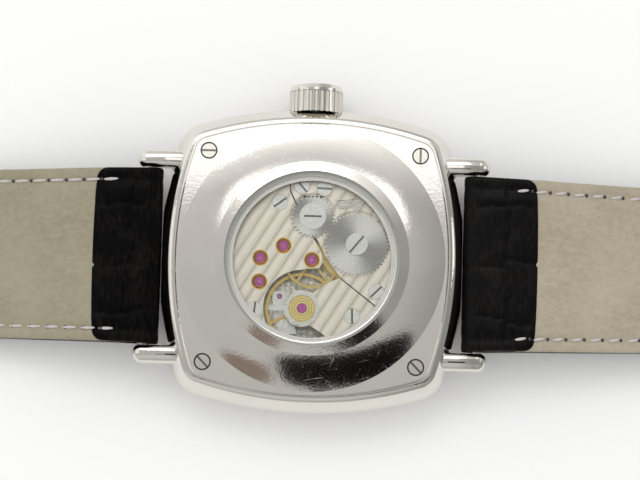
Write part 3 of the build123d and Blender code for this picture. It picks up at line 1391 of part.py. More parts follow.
def keeper(run, side_room, top_room):
    """Leather band round the short strap, open below the strap for the tail."""
    inner_half = half_width_at(run) + side_room
    top = strap_rest_height + strap_end_thickness + top_room
    with BuildPart() as band:
        with Locations((lug_reach + run, 0, 0)):
            Box(keeper_width, 2 * (inner_half + keeper_wall), top + keeper_wall,
                align=(Align.MIN, Align.CENTER, Align.MIN))
            fillet(band.edges().filter_by(Axis.X), keeper_round)
        with Locations((lug_reach + run, 0, keeper_wall)):
            Box(keeper_width, 2 * inner_half, top - keeper_wall, align=(Align.MIN, Align.CENTER, Align.MIN),
                mode=Mode.SUBTRACT)
    return band.part


save(keeper(fixed_keeper_place, 0, 0), "fixed_keeper")
save(keeper(loose_keeper_place - loose_keeper_travel, keeper_room, keeper_room), "loose_keeper")

# Pin buckle, tilted from its bar down to the surface that the watch lies on
tilt = math.radians(buckle_tilt)
buckle_plane = Plane((buckle_x, 0, buckle_z), x_dir=(math.cos(tilt), 0, -math.sin(tilt)),
                     z_dir=(math.sin(tilt), 0, math.cos(tilt)))
buckle_half = buckle_window_half_width + buckle_arm_width
buckle_back = tongue_eye_radius + buckle_bar_radius
with BuildPart() as buckle_frame:
    with BuildSketch(buckle_plane.offset(-buckle_thickness / 2)):
        with Locations((-buckle_back, 0)):
            Rectangle(buckle_back + buckle_window_length + buckle_cross_width, 2 * buckle_half,
                      align=(Align.MIN, Align.CENTER))
    extrude(amount=buckle_thickness)
    fillet(buckle_frame.edges().filter_by(Axis.Y), buckle_round)
    with BuildSketch(buckle_plane.offset(-buckle_thickness)):
        with Locations((-buckle_back - overrun, 0)):
            Rectangle(buckle_back + overrun + buckle_window_length, 2 * buckle_window_half_width,
                      align=(Align.MIN, Align.CENTER))
    extrude(amount=2 * buckle_thickness, mode=Mode.SUBTRACT)
    with BuildSketch(buckle_plane.offset(-buckle_thickness)):
        with Locations((buckle_window_length, 0)):
            Rectangle(buckle_cross_width + overrun, 2 * slot_half, align=(Align.MIN, Align.CENTER))
    extrude(amount=buckle_thickness / 2 + tongue_thickness, mode=Mode.SUBTRACT)
    rod(buckle_x, buckle_z, -buckle_half + buckle_arm_width / 2, buckle_half - buckle_arm_width / 2,
        buckle_bar_radius)
save(buckle_frame.part, "buckle_frame")

with BuildPart() as buckle_tongue:
    rod(buckle_x, buckle_z, -tongue_width / 2, tongue_width / 2, tongue_eye_radius)
    with BuildSketch(buckle_plane.offset(-buckle_thickness / 2)):
        Rectangle(buckle_window_length + buckle_cross_width, tongue_width, align=(Align.MIN, Align.CENTER))
    extrude(amount=tongue_thickness)
    rod(buckle_x, buckle_z, -tongue_width, tongue_width, buckle_bar_radius + bar_room, Mode.SUBTRACT)
save(buckle_tongue.part, "buckle_tongue")
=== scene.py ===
import logging
import math
from dataclasses import dataclass, field
from enum import Enum

import bmesh
import bpy
import numpy as np
from mathutils import Matrix, Vector


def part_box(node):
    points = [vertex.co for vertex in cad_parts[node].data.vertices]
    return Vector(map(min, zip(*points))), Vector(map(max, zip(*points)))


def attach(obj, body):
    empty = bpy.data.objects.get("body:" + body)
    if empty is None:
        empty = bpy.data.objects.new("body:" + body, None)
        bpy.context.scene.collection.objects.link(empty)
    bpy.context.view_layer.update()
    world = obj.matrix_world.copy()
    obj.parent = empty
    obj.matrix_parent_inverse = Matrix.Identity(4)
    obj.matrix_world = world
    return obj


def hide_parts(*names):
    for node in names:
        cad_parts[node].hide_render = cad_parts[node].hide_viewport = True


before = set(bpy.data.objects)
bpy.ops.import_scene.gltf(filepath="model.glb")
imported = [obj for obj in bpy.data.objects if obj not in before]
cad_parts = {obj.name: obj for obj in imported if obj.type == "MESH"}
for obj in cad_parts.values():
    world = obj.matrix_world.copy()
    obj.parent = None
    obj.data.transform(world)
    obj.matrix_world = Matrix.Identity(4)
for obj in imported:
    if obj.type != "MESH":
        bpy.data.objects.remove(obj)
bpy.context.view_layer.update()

MM = 0.001
LOG = logging.getLogger("watch")

Colour = tuple[float, float, float]
Socket = bpy.types.NodeSocket


class Side(Enum):
    """Which way a strap half runs from the case."""

    TWELVE = 1
    SIX = -1


class Shader:
    """Builder of one material's node tree around a Principled shader."""

    def __init__(self, name: str) -> None:
        """Start an empty material.

        Args:
            name: the material's name.
        """
        self.material = bpy.data.materials.new(name)
        self.material.use_nodes = True
        self.nodes = self.material.node_tree.nodes
        self.links = self.material.node_tree.links
        self.nodes.clear()
        self.out = self.nodes.new("ShaderNodeOutputMaterial")
        self.body = self.nodes.new("ShaderNodeBsdfPrincipled")
        self.links.new(self.body.outputs[0], self.out.inputs[0])

    def feed(self, socket: Socket, value: object) -> None:
        """Link a socket to an input, or set the input's own value."""
        if isinstance(value, bpy.types.NodeSocket):
            self.links.new(value, socket)
        else:
            socket.default_value = value

    def set(self, **values: object) -> None:
        """Set or link the shader's inputs.

        Args:
            values: input names with underscores for spaces, in lower case.
        """
        for key, value in values.items():
            for socket in self.body.inputs:
                if socket.name.lower().replace(" ", "_") == key:
                    if isinstance(value, tuple) and len(value) == 3 and socket.type == "RGBA":
                        value = (*value, 1.0)
                    self.feed(socket, value)

    def place(self, centre: tuple[float, float] = (0.0, 0.0), turn: float = 0.0,
              stretch: Colour = (1.0, 1.0, 1.0), uv: bool = False) -> Socket:
        """Coordinates of the surface, moved to a centre, turned and stretched.

        Args:
            centre: centre in metres.
            turn: turn about Z in degrees.
            stretch: how much longer the pattern is along each turned axis.
            uv: read the piece's own UV map in place of its position.

        Returns:
            The vector socket.
        """
        source = self.nodes.new("ShaderNodeTexCoord")
        mapping = self.nodes.new("ShaderNodeMapping")
        mapping.vector_type = "TEXTURE"
        mapping.inputs["Location"].default_value = (centre[0], centre[1], 0.0)
        mapping.inputs["Rotation"].default_value = (0.0, 0.0, math.radians(turn))
        mapping.inputs["Scale"].default_value = stretch
        self.links.new(source.outputs["UV" if uv else "Object"], mapping.inputs["Vector"])
        return mapping.outputs["Vector"]

    def noise(self, vector: Socket, scale: float, detail: float = 2.0, rough: float = 0.5,
              distortion: float = 0.0) -> Socket:
        """Noise value on a vector."""
        node = self.nodes.new("ShaderNodeTexNoise")
        self.links.new(vector, node.inputs["Vector"])
        node.inputs["Scale"].default_value = scale
        node.inputs["Detail"].default_value = detail
        node.inputs["Roughness"].default_value = rough
        node.inputs["Distortion"].default_value = distortion
        return node.outputs[0]

    def cells(self, vector: Socket, scale: float, spread: float = 1.0, feature: str = "F1") -> Socket:
        """Distance to the nearest cell centre or edge on a vector."""
        node = self.nodes.new("ShaderNodeTexVoronoi")
        node.feature = feature
        self.links.new(vector, node.inputs["Vector"])
        node.inputs["Scale"].default_value = scale
        node.inputs["Randomness"].default_value = spread
        return node.outputs["Distance"]

    def calc(self, operation: str, first: object, second: object = 0.0, third: object = 0.0) -> Socket:
        """Result of a math node."""
        node = self.nodes.new("ShaderNodeMath")
        node.operation = operation
        for socket, value in zip(node.inputs, (first, second, third)):
            self.feed(socket, value)
        return node.outputs[0]

    def axis(self, vector: Socket, index: int) -> Socket:
        """One coordinate of a vector."""
        node = self.nodes.new("ShaderNodeSeparateXYZ")
        self.links.new(vector, node.inputs[0])
        return node.outputs[index]

    def reach(self, vector: Socket) -> Socket:
        """Distance from the Z axis of a vector."""
        first, second = self.axis(vector, 0), self.axis(vector, 1)
        return self.calc("SQRT", self.calc("MULTIPLY_ADD", first, first, self.calc("MULTIPLY", second, second)))

    def nearest(self, vector: Socket, centres: tuple[tuple[float, float], ...]) -> Socket:
        """Distance across Z to the nearest of several centres in millimetres."""
        split = self.nodes.new("ShaderNodeSeparateXYZ")
        self.links.new(vector, split.inputs[0])
        result = None
        for x, y in centres:
            first = self.calc("SUBTRACT", split.outputs[0], x * MM)
            second = self.calc("SUBTRACT", split.outputs[1], y * MM)
            square = self.calc("MULTIPLY_ADD", first, first, self.calc("MULTIPLY", second, second))
            gap = self.calc("SQRT", square)
            result = gap if result is None else self.calc("MINIMUM", result, gap)
        return result

    def window(self, value: Socket, low: float, high: float, to_low: float = 0.0,
               to_high: float = 1.0) -> Socket:
        """Value spread smoothly from one range to another."""
        node = self.nodes.new("ShaderNodeMapRange")
        node.interpolation_type = "SMOOTHSTEP"
        self.links.new(value, node.inputs["Value"])
        for name, number in (("From Min", low), ("From Max", high), ("To Min", to_low), ("To Max", to_high)):
            node.inputs[name].default_value = number
        return node.outputs["Result"]

    def mix(self, factor: object, first: object, second: object) -> Socket:
        """Colour mixed from two colours."""
        node = self.nodes.new("ShaderNodeMix")
        node.data_type = "RGBA"
        self.feed(node.inputs[0], factor)
        for index, value in ((6, first), (7, second)):
            if isinstance(value, tuple) and len(value) == 3:
                value = (*value, 1.0)
            self.feed(node.inputs[index], value)
        return node.outputs[2]

    def bump(self, height: Socket, depth: float, normal: Socket | None = None) -> Socket:
        """Normal bent by a height.

        Args:
            height: height value, 0 to 1.
            depth: depth in metres of a height of one.
            normal: normal to bend further.

        Returns:
            The normal socket.
        """
        node = self.nodes.new("ShaderNodeBump")
        node.inputs["Strength"].default_value = 1.0
        node.inputs["Distance"].default_value = depth
        self.links.new(height, node.inputs["Height"])
        if normal is not None:
            self.links.new(normal, node.inputs["Normal"])
        return node.outputs[0]


def shade(colour: Colour, factor: float) -> Colour:
    """A colour made darker or lighter by a factor."""
    return tuple(min(1.0, channel * factor) for channel in colour)


@dataclass(frozen=True)
class SteelFinish:
    """Polished steel with fine hairlines, worn specks, a slight waviness and painted shade between two heights."""

    name: str
    colour: Colour = (0.86, 0.82, 0.765)
    roughness: float = 0.045
    haze: float = 0.05
    hairline: float = 0.10
    wave: float = 0.003
    painted_shade_from: float | None = None
    painted_shade_to: float = 0.0
    painted_shade_beyond: float = 0.0
    painted_shade_share: float = 0.10
    lip_radius: float = 0.0
    grit: float = 0.0

    def make(self) -> bpy.types.Material:
        """Build the material."""
        shader = Shader(self.name)
        position = shader.place()
        cloud = shader.noise(position, 220.0, 3.0)
        lines = None
        for turn, scale in ((14.0, 5200.0), (68.0, 6100.0), (-33.0, 4700.0), (-71.0, 6900.0)):
            grain = shader.noise(shader.place(turn=turn, stretch=(26.0, 1.0, 1.0)), scale, 1.0)
            hair = shader.window(grain, 0.70, 0.76)
            lines = hair if lines is None else shader.calc("MAXIMUM", lines, hair)
        speck = shader.window(shader.cells(position, 900.0), 0.07, 0.13, 1.0, 0.0)
        mask = shader.window(shader.noise(position, 420.0, 2.0), 0.52, 0.62)
        speck = shader.calc("MULTIPLY", speck, mask)
        wear = shader.calc("MAXIMUM", lines, speck)
        rough = shader.calc("MULTIPLY_ADD", cloud, self.haze, self.roughness)
        rough = shader.calc("MULTIPLY_ADD", wear, self.hairline, rough)
        tint = shader.mix(cloud, shade(self.colour, 0.97), shade(self.colour, 1.03))
        reach = shader.reach(position)
        # Painted shade: darker between two heights and beyond a radius, in place of the shade in slots and recesses.
        if self.painted_shade_from is not None:
            level = shader.axis(position, 2)
            under = shader.window(level, (self.painted_shade_to - 0.05) * MM, (self.painted_shade_to - 0.01) * MM, 1.0, 0.0)
            over = shader.window(level, self.painted_shade_from * MM, (self.painted_shade_from + 0.02) * MM)
            past = shader.window(reach, self.painted_shade_beyond * MM, (self.painted_shade_beyond + 0.02) * MM)
            low = shader.calc("MULTIPLY", shader.calc("MULTIPLY", under, over), past)
            tint = shader.mix(low, tint, shade(self.colour, self.painted_shade_share))
        normal = shader.bump(cloud, self.wave * MM)
        if self.grit:
            normal = shader.bump(shader.noise(position, 3200.0, 3.0), self.grit * MM, normal)
        if self.lip_radius:
            lip = shader.window(reach, (self.lip_radius - 0.03) * MM, self.lip_radius * MM, 1.0, 0.0)
            turned = shader.calc("SINE", shader.calc("MULTIPLY", reach, 2 * math.pi / (0.22 * MM)))
            line = shader.calc("MULTIPLY", shader.window(turned, -0.2, 0.9), lip)
            tint = shader.mix(line, tint, shade(self.colour, 0.70))
            rough = shader.calc("MULTIPLY_ADD", lip, 0.28, rough)
            normal = shader.bump(line, -0.004 * MM, normal)
        normal = shader.bump(wear, -0.0002 * MM, normal)
        shader.set(base_color=tint, metallic=1.0, roughness=rough, normal=normal)
        return shader.material


@dataclass(frozen=True)
class SatinFinish:
    """Metal with a fine grain one way."""

    name: str
    colour: Colour
    turn: float = 0.0
    roughness: float = 0.26
    grain: float = 9000.0

    def make(self) -> bpy.types.Material:
        """Build the material."""
        shader = Shader(self.name)
        lines = shader.noise(shader.place(turn=self.turn, stretch=(40.0, 1.0, 1.0)), self.grain, 3.0)
        cloud = shader.noise(shader.place(), 300.0, 2.0)
        tint = shader.mix(cloud, shade(self.colour, 0.90), shade(self.colour, 1.08))
        rough = shader.calc("MULTIPLY_ADD", lines, 0.14, self.roughness)
        shader.set(base_color=tint, metallic=1.0, roughness=rough, normal=shader.bump(lines, 0.0025 * MM))
        return shader.material


@dataclass(frozen=True)
class StripedFinish:
    """Nickel with broad straight stripes, each rising and falling across its width."""

    name: str
    light: Colour = (0.92, 0.855, 0.73)
    dark: Colour = (0.62, 0.55, 0.445)
    turn: float = 58.0
    pitch: float = 1.42

    def make(self) -> bpy.types.Material:
        """Build the material."""
        shader = Shader(self.name)
        across = shader.axis(shader.place(turn=self.turn), 1)
        drift = shader.noise(shader.place(), 260.0, 2.0)
        phase = shader.calc("MULTIPLY_ADD", across, 1.0 / (self.pitch * MM),
                            shader.calc("MULTIPLY", drift, 0.06))
        share = shader.calc("FRACT", phase)
        fall = shader.window(share, 0.55, 0.97)
        rise = shader.window(share, 0.0, 0.07, 1.0, 0.0)
        band = shader.calc("MAXIMUM", fall, rise)
        arcs = shader.noise(shader.place(turn=self.turn + 76.0, stretch=(18.0, 1.0, 1.0)), 7500.0, 3.0)
        tone = shader.calc("MULTIPLY_ADD", arcs, 0.30, shader.calc("MULTIPLY", band, 0.70))
        tint = shader.mix(tone, self.light, self.dark)
        dome = shader.calc("PINGPONG", shader.calc("ADD", share, 0.2), 0.5)
        normal = shader.bump(dome, 0.035 * MM)
        normal = shader.bump(arcs, 0.003 * MM, normal)
        rough = shader.calc("MULTIPLY_ADD", arcs, 0.18, 0.24)
        shader.set(base_color=tint, metallic=1.0, roughness=rough, normal=normal)
        return shader.material


@dataclass(frozen=True)
class SpottedFinish:
    """Nickel ground in small overlapping circles."""

    name: str
    colour: Colour = (0.62, 0.59, 0.52)
    spot: float = 0.75

    def make(self) -> bpy.types.Material:
        """Build the material."""
        shader = Shader(self.name)
        reach = shader.cells(shader.place(), 1.0 / (self.spot * MM), 0.25)
        rings = shader.calc("SINE", shader.calc("MULTIPLY", reach, 46.0))
        tint = shader.mix(shader.window(reach, 0.1, 0.7), shade(self.colour, 1.1), shade(self.colour, 0.7))
        shader.set(base_color=tint, metallic=1.0, roughness=0.3, normal=shader.bump(rings, 0.006 * MM))
        return shader.material


@dataclass(frozen=True)
class SunrayFinish:
    """Steel wheel brushed in rays from its centre, with painted highlight wedges round it."""

    name: str
    centre: tuple[float, float]
    colour: Colour = (0.62, 0.60, 0.57)
    rays: float = 60.0

    def make(self) -> bpy.types.Material:
        """Build the material."""
        shader = Shader(self.name)
        position = shader.place(centre=(self.centre[0] * MM, self.centre[1] * MM))
        wheel = shader.nodes.new("ShaderNodeTexGradient")
        wheel.gradient_type = "RADIAL"
        shader.links.new(position, wheel.inputs["Vector"])
        angle = wheel.outputs[1]
        ring = shader.nodes.new("ShaderNodeCombineXYZ")
        shader.feed(ring.inputs[0], shader.calc("MULTIPLY", angle, self.rays))
        streak = shader.noise(ring.outputs[0], 6.0, 3.0)
        # Painted highlight: two bright and two dark wedges round the centre, mixed with the brushed streaks.
        painted_highlight_sweep = shader.calc("SINE", shader.calc("MULTIPLY_ADD", angle, 4.0 * math.pi, -0.5))
        painted_highlight_lobe = shader.calc("MULTIPLY_ADD", painted_highlight_sweep, 0.36, 0.5)
        tone = shader.calc("MULTIPLY_ADD", shader.calc("SUBTRACT", streak, 0.5), 0.7, painted_highlight_lobe)
        tint = shader.mix(shader.window(tone, 0.1, 0.9), shade(self.colour, 0.55), shade(self.colour, 1.35))
        rough = shader.calc("MULTIPLY_ADD", streak, 0.16, 0.20)
        shader.set(base_color=tint, metallic=1.0, roughness=rough, normal=shader.bump(streak, 0.004 * MM))
        return shader.material


@dataclass(frozen=True)
class GiltFinish:
    """Gilt or brass with fine turning marks and a warm variation."""

    name: str
    colour: Colour
    roughness: float = 0.18
    grain: float = 5200.0

    def make(self) -> bpy.types.Material:
        """Build the material."""
        shader = Shader(self.name)
        marks = shader.noise(shader.place(), self.grain, 3.0)
        cloud = shader.noise(shader.place(), 900.0, 2.0)
        tint = shader.mix(cloud, shade(self.colour, 0.86), shade(self.colour, 1.12))
        rough = shader.calc("MULTIPLY_ADD", marks, 0.14, self.roughness)
        shader.set(base_color=tint, metallic=1.0, roughness=rough, normal=shader.bump(marks, 0.0015 * MM))
        return shader.material


@dataclass(frozen=True)
class SettingFinish:
    """Gilt settings with a bright rim and a deep groove round the jewel, coloured dark as painted shade, and a paler
    cap over the balance.
    """

    name: str
    centres: tuple[tuple[float, float], ...]
    cap_centre: tuple[float, float]
    cap_radius: float = 1.72
    rim_radius: float = 0.92
    shaded_groove_radius: float = 0.72

    def make(self) -> bpy.types.Material:
        """Build the material."""
        shader = Shader(self.name)
        position = shader.place()
        marks = shader.noise(position, 5200.0, 3.0)
        reach = shader.nearest(position, self.centres)
        rim = shader.window(reach, (self.rim_radius - 0.06) * MM, self.rim_radius * MM)
        inner = shader.window(reach, (self.shaded_groove_radius - 0.08) * MM, self.shaded_groove_radius * MM)
        # Painted shade: the ring between the jewel's orange setting and the bright rim is coloured dark as the
        # groove's shade.
        tint = shader.mix(inner, (0.62, 0.25, 0.03), (0.34, 0.13, 0.02))
        tint = shader.mix(rim, tint, (0.95, 0.64, 0.20))
        cap = shader.nearest(position, (self.cap_centre,))
        rings = shader.calc("SINE", shader.calc("MULTIPLY", cap, 2 * math.pi / (0.33 * MM)))
        pale = shader.mix(shader.window(rings, -1.2, 0.6), (0.70, 0.52, 0.17), (0.90, 0.74, 0.34))
        inside = shader.window(cap, self.cap_radius * MM, (self.cap_radius + 0.02) * MM, 1.0, 0.0)
        tint = shader.mix(inside, tint, pale)
        groove = shader.calc("MULTIPLY", inner, shader.calc("SUBTRACT", 1.0, rim))
        height = shader.calc("MULTIPLY_ADD", groove, -1.0, shader.calc("MULTIPLY", rings, 0.06))
        normal = shader.bump(marks, 0.0015 * MM, shader.bump(height, 0.05 * MM))
        shader.set(base_color=tint, metallic=1.0, roughness=shader.calc("MULTIPLY_ADD", marks, 0.14, 0.16),
                   normal=normal)
        return shader.material


@dataclass(frozen=True)
class BluedFinish:
    """Heat blued steel, a little purple where it is thicker."""

    name: str

    def make(self) -> bpy.types.Material:
        """Build the material."""
        shader = Shader(self.name)
        cloud = shader.noise(shader.place(), 500.0, 2.0)
        tint = shader.mix(cloud, (0.02, 0.05, 0.26), (0.06, 0.04, 0.22))
        marks = shader.noise(shader.place(), 7000.0, 2.0)
        shader.set(base_color=tint, metallic=1.0, roughness=shader.calc("MULTIPLY_ADD", marks, 0.1, 0.12),
                   normal=shader.bump(marks, 0.001 * MM))
        return shader.material


@dataclass(frozen=True)
class RubyFinish:
    """Polished synthetic ruby with a clouded depth, darker towards its edge."""

    name: str
    centres: tuple[tuple[float, float], ...]

    def make(self) -> bpy.types.Material:
        """Build the material."""
        shader = Shader(self.name)
        position = shader.place()
        cloud = shader.noise(position, 2600.0, 2.0)
        tint = shader.mix(cloud, (0.20, 0.014, 0.125), (0.46, 0.05, 0.31))
        edge = shader.window(shader.nearest(position, self.centres), 0.44 * MM, 0.66 * MM)
        tint = shader.mix(edge, tint, (0.10, 0.008, 0.055))
        ripple = shader.bump(shader.noise(shader.place(), 1500.0, 1.0), 0.004 * MM)
        shader.set(base_color=tint, roughness=0.06, ior=1.76, coat_weight=0.6, coat_roughness=0.03,
                   normal=ripple)
        return shader.material


@dataclass(frozen=True)
class CrystalFinish:
    """Clear crystal that lets lamps light what lies behind it."""

    name: str

    def make(self) -> bpy.types.Material:
        """Build the material."""
        shader = Shader(self.name)
        smear = shader.window(shader.noise(shader.place(), 160.0, 3.0), 0.45, 0.75, 0.0, 0.03)
        shader.set(base_color=(0.97, 0.985, 0.98), roughness=smear, ior=1.45, transmission_weight=1.0)
        path = shader.nodes.new("ShaderNodeLightPath")
        clear = shader.nodes.new("ShaderNodeBsdfTransparent")
        both = shader.nodes.new("ShaderNodeMixShader")
        soft = shader.calc("MAXIMUM", path.outputs["Is Shadow Ray"], path.outputs["Is Diffuse Ray"])
        shader.links.new(soft, both.inputs[0])
        shader.links.new(shader.body.outputs[0], both.inputs[1])
        shader.links.new(clear.outputs[0], both.inputs[2])
        shader.links.new(both.outputs[0], shader.out.inputs[0])
        return shader.material


@dataclass(frozen=True)
class MouldedFinish:
    """Moulded seal or ring with a soft skin."""

    name: str
    colour: Colour
    roughness: float = 0.45

    def make(self) -> bpy.types.Material:
        """Build the material."""
        shader = Shader(self.name)
        skin = shader.noise(shader.place(), 3500.0, 3.0)
        tint = shader.mix(skin, shade(self.colour, 0.85), shade(self.colour, 1.15))
        shader.set(base_color=tint, roughness=shader.calc("MULTIPLY_ADD", skin, 0.2, self.roughness),
                   normal=shader.bump(skin, 0.004 * MM))
        return shader.material


@dataclass(frozen=True)
class DialFinish:
    """Silvered dial with a frosted grain."""

    name: str

    def make(self) -> bpy.types.Material:
        """Build the material."""
        shader = Shader(self.name)
        frost = shader.noise(shader.place(), 9000.0, 3.0)
        cloud = shader.noise(shader.place(), 120.0, 2.0)
        tint = shader.mix(cloud, (0.78, 0.77, 0.72), (0.86, 0.85, 0.81))
        shader.set(base_color=tint, metallic=0.55, roughness=shader.calc("MULTIPLY_ADD", frost, 0.2, 0.38),
                   normal=shader.bump(frost, 0.006 * MM))
        return shader.material


@dataclass(frozen=True)
class LeatherFinish:
    """Glossy black leather, creased across each scale and brown where it is stretched."""

    name: str
    ridge: float = 1.0
    shine: float = 0.05

    def make(self) -> bpy.types.Material:
        """Build the material."""
        shader = Shader(self.name)
        wide = shader.place(uv=True)
        crease = shader.noise(shader.place(uv=True, stretch=(1.0, 3.6, 1.0)), 2600.0, 5.0, 0.62, 0.4)
        fibre = shader.noise(shader.place(uv=True, stretch=(1.0, 6.0, 1.0)), 7800.0, 3.0)
        cloud = shader.noise(wide, 240.0, 3.0)
        pores = shader.window(shader.cells(wide, 2800.0), 0.08, 0.3)
        worn = shader.window(shader.calc("MULTIPLY_ADD", crease, 0.6, shader.calc("MULTIPLY", cloud, 0.5)),
                             0.50, 0.70)
        tint = shader.mix(worn, (0.0015, 0.0014, 0.0015), (0.008, 0.006, 0.0055))
        rough = shader.calc("MULTIPLY_ADD", crease, 0.34, 0.22)
        normal = shader.bump(crease, 0.085 * MM * self.ridge)
        normal = shader.bump(fibre, 0.016 * MM, normal)
        normal = shader.bump(pores, 0.010 * MM, normal)
        shader.set(base_color=tint, roughness=rough, specular_ior_level=self.shine, normal=normal)
        return shader.material


@dataclass(frozen=True)
class LiningFinish:
    """Pale lining leather with a pebbled grain, light marks of wear and a faint sheen."""

    name: str
    light: Colour = (0.425, 0.373, 0.282)
    dark: Colour = (0.322, 0.277, 0.197)
    pebble: float = 1.0

    def make(self) -> bpy.types.Material:
        """Build the material."""
        shader = Shader(self.name)
        along = shader.place(uv=True, stretch=(1.6, 1.0, 1.0))
        pebbles = shader.cells(along, 2600.0, 1.0, "SMOOTH_F1")
        wrinkle = shader.noise(along, 1500.0, 4.0, 0.6, 0.8)
        cloud = shader.noise(shader.place(uv=True), 90.0, 4.0, 0.6)
        fine = shader.noise(shader.place(uv=True), 9000.0, 3.0)
        tone = shader.calc("MULTIPLY_ADD", wrinkle, 0.35, shader.calc("MULTIPLY", cloud, 0.65))
        tint = shader.mix(shader.window(tone, 0.3, 0.7), self.dark, self.light)
        tint = shader.mix(shader.window(pebbles, 0.25, 0.75, 0.0, 0.35), tint, shade(self.light, 1.12))
        normal = shader.bump(wrinkle, 0.09 * MM * self.pebble)
        normal = shader.bump(pebbles, -0.05 * MM * self.pebble, normal)
        normal = shader.bump(fine, 0.008 * MM, normal)
        shader.set(base_color=tint, roughness=shader.calc("MULTIPLY_ADD", fine, 0.18, 0.46),
                   sheen_weight=0.12, sheen_roughness=0.5, normal=normal)
        return shader.material


@dataclass(frozen=True)
class ThreadFinish:
    """Waxed thread with twisted strands."""

    name: str
    colour: Colour = (0.55, 0.51, 0.50)

    def make(self) -> bpy.types.Material:
        """Build the material."""
        shader = Shader(self.name)
        twist = shader.noise(shader.place(turn=35.0, stretch=(6.0, 1.0, 1.0)), 9000.0, 2.0)
        tint = shader.mix(twist, shade(self.colour, 0.80), shade(self.colour, 1.15))
        shader.set(base_color=tint, roughness=0.75, specular_ior_level=0.3, normal=shader.bump(twist, 0.02 * MM))
        return shader.material


@dataclass(frozen=True)
class FloorFinish:
    """Pale board that the watch lies on."""

    name: str
    colour: Colour = (0.955, 0.955, 0.955)

    def make(self) -> bpy.types.Material:
        """Build the material."""
        shader = Shader(self.name)
        cloud = shader.noise(shader.place(), 3.0, 2.0)
        tint = shader.mix(cloud, shade(self.colour, 0.985), shade(self.colour, 1.01))
        shader.set(base_color=tint, roughness=0.55, specular_ior_level=0.3)
        return shader.material


def mesh_piece(name: str, mesh: bpy.types.Mesh, *materials: bpy.types.Material) -> bpy.types.Object:
    """Put a mesh into the scene as a piece.

    Args:
        name: the piece's name.
        mesh: its mesh, in metres.
        materials: its materials, in slot order.

    Returns:
        The piece's object.
    """
    piece = bpy.data.objects.new(name, mesh)
    bpy.context.scene.collection.objects.link(piece)
    mesh.materials.clear()
    for material in materials:
        mesh.materials.append(material)
    return piece


def turned_mesh(name: str, profile: list[tuple[float, float]], segments: int = 160) -> bpy.types.Mesh:
    """Solid of revolution about Z, closed by flat ends.

    Args:
        name: the mesh's name.
        profile: radius and height of each ring from the bottom up, in millimetres.
        segments: faces round the circle.

    Returns:
        The mesh, in metres.
    """
    angles = np.linspace(0.0, 2 * math.pi, segments + 1)[:-1]
    points = [(radius * math.cos(a) * MM, radius * math.sin(a) * MM, height * MM)
              for radius, height in profile for a in angles]
    faces: list[tuple[int, ...]] = [tuple(reversed(range(segments)))]
    for ring in range(len(profile) - 1):
        for index in range(segments):
            following = (index + 1) % segments
            faces.append((ring * segments + index, ring * segments + following,
                          (ring + 1) * segments + following, (ring + 1) * segments + index))
    faces.append(tuple(range((len(profile) - 1) * segments, len(profile) * segments)))
    mesh = bpy.data.meshes.new(name)
    mesh.from_pydata(points, [], faces)
    mesh.set_sharp_from_angle(angle=math.radians(20.0))
    return mesh


class Shell:
    """Closed thick sheet over a grid of outer and inner points, in millimetres."""

    def __init__(self, outer: np.ndarray, inner: np.ndarray, chart: np.ndarray, looped: bool = False) -> None:
        """Keep the grids.

        Args:
            outer: outer points, rows by columns by 3.
            inner: inner points, the same shape.
            chart: two surface coordinates for each grid point.
            looped: join the last row to the first.
        """
        self.outer = outer
        self.inner = inner
        self.chart = chart
        self.looped = looped

    def mesh(self, name: str, edge_columns: int = 0) -> bpy.types.Mesh:
        """Build the mesh; rim faces and the given number of edge columns take the second material.

        Args:
            name: the mesh's name.
            edge_columns: columns along each side that belong to the rim.

        Returns:
            The mesh, in metres.
        """
        rows, columns = self.outer.shape[:2]
        count = rows * columns
        points = np.concatenate([self.outer.reshape(-1, 3), self.inner.reshape(-1, 3)]) * MM
        chart = np.concatenate([self.chart.reshape(-1, 2)] * 2) * MM
        faces: list[tuple[int, int, int, int]] = []
        slots: list[int] = []
        last = rows if self.looped else rows - 1
        for row in range(last):
            below = (row + 1) % rows
            for column in range(columns - 1):
                a, b = row * columns + column, row * columns + column + 1
                c, d = below * columns + column + 1, below * columns + column
                rim = column < edge_columns or column >= columns - 1 - edge_columns
                faces.append((a, b, c, d))
                slots.append(1 if rim else 0)
                faces.append((count + d, count + c, count + b, count + a))
                slots.append(0)
            for column, flip in ((0, False), (columns - 1, True)):
                a, d = row * columns + column, below * columns + column
                quad = (a, d, count + d, count + a)
                faces.append(quad[::-1] if flip else quad)
                slots.append(1)
        if not self.looped:
            for row, flip in ((0, True), (rows - 1, False)):
                for column in range(columns - 1):
                    a, b = row * columns + column, row * columns + column + 1
                    quad = (a, b, count + b, count + a)
                    faces.append(quad[::-1] if flip else quad)
                    slots.append(1)
        mesh = bpy.data.meshes.new(name)
        mesh.from_pydata(points.tolist(), [], faces)
        mesh.polygons.foreach_set("material_index", slots)
        layer = mesh.uv_layers.new(name="grain")
        corners = np.empty(len(mesh.loops), int)
        mesh.loops.foreach_get("vertex_index", corners)
        layer.data.foreach_set("uv", chart[corners].ravel())
        work = bmesh.new()
        work.from_mesh(mesh)
        bmesh.ops.recalc_face_normals(work, faces=work.faces)
        for face in work.faces:
            face.smooth = True
        work.to_mesh(mesh)
        work.free()
        mesh.set_sharp_from_angle(angle=math.radians(50.0))
        return mesh


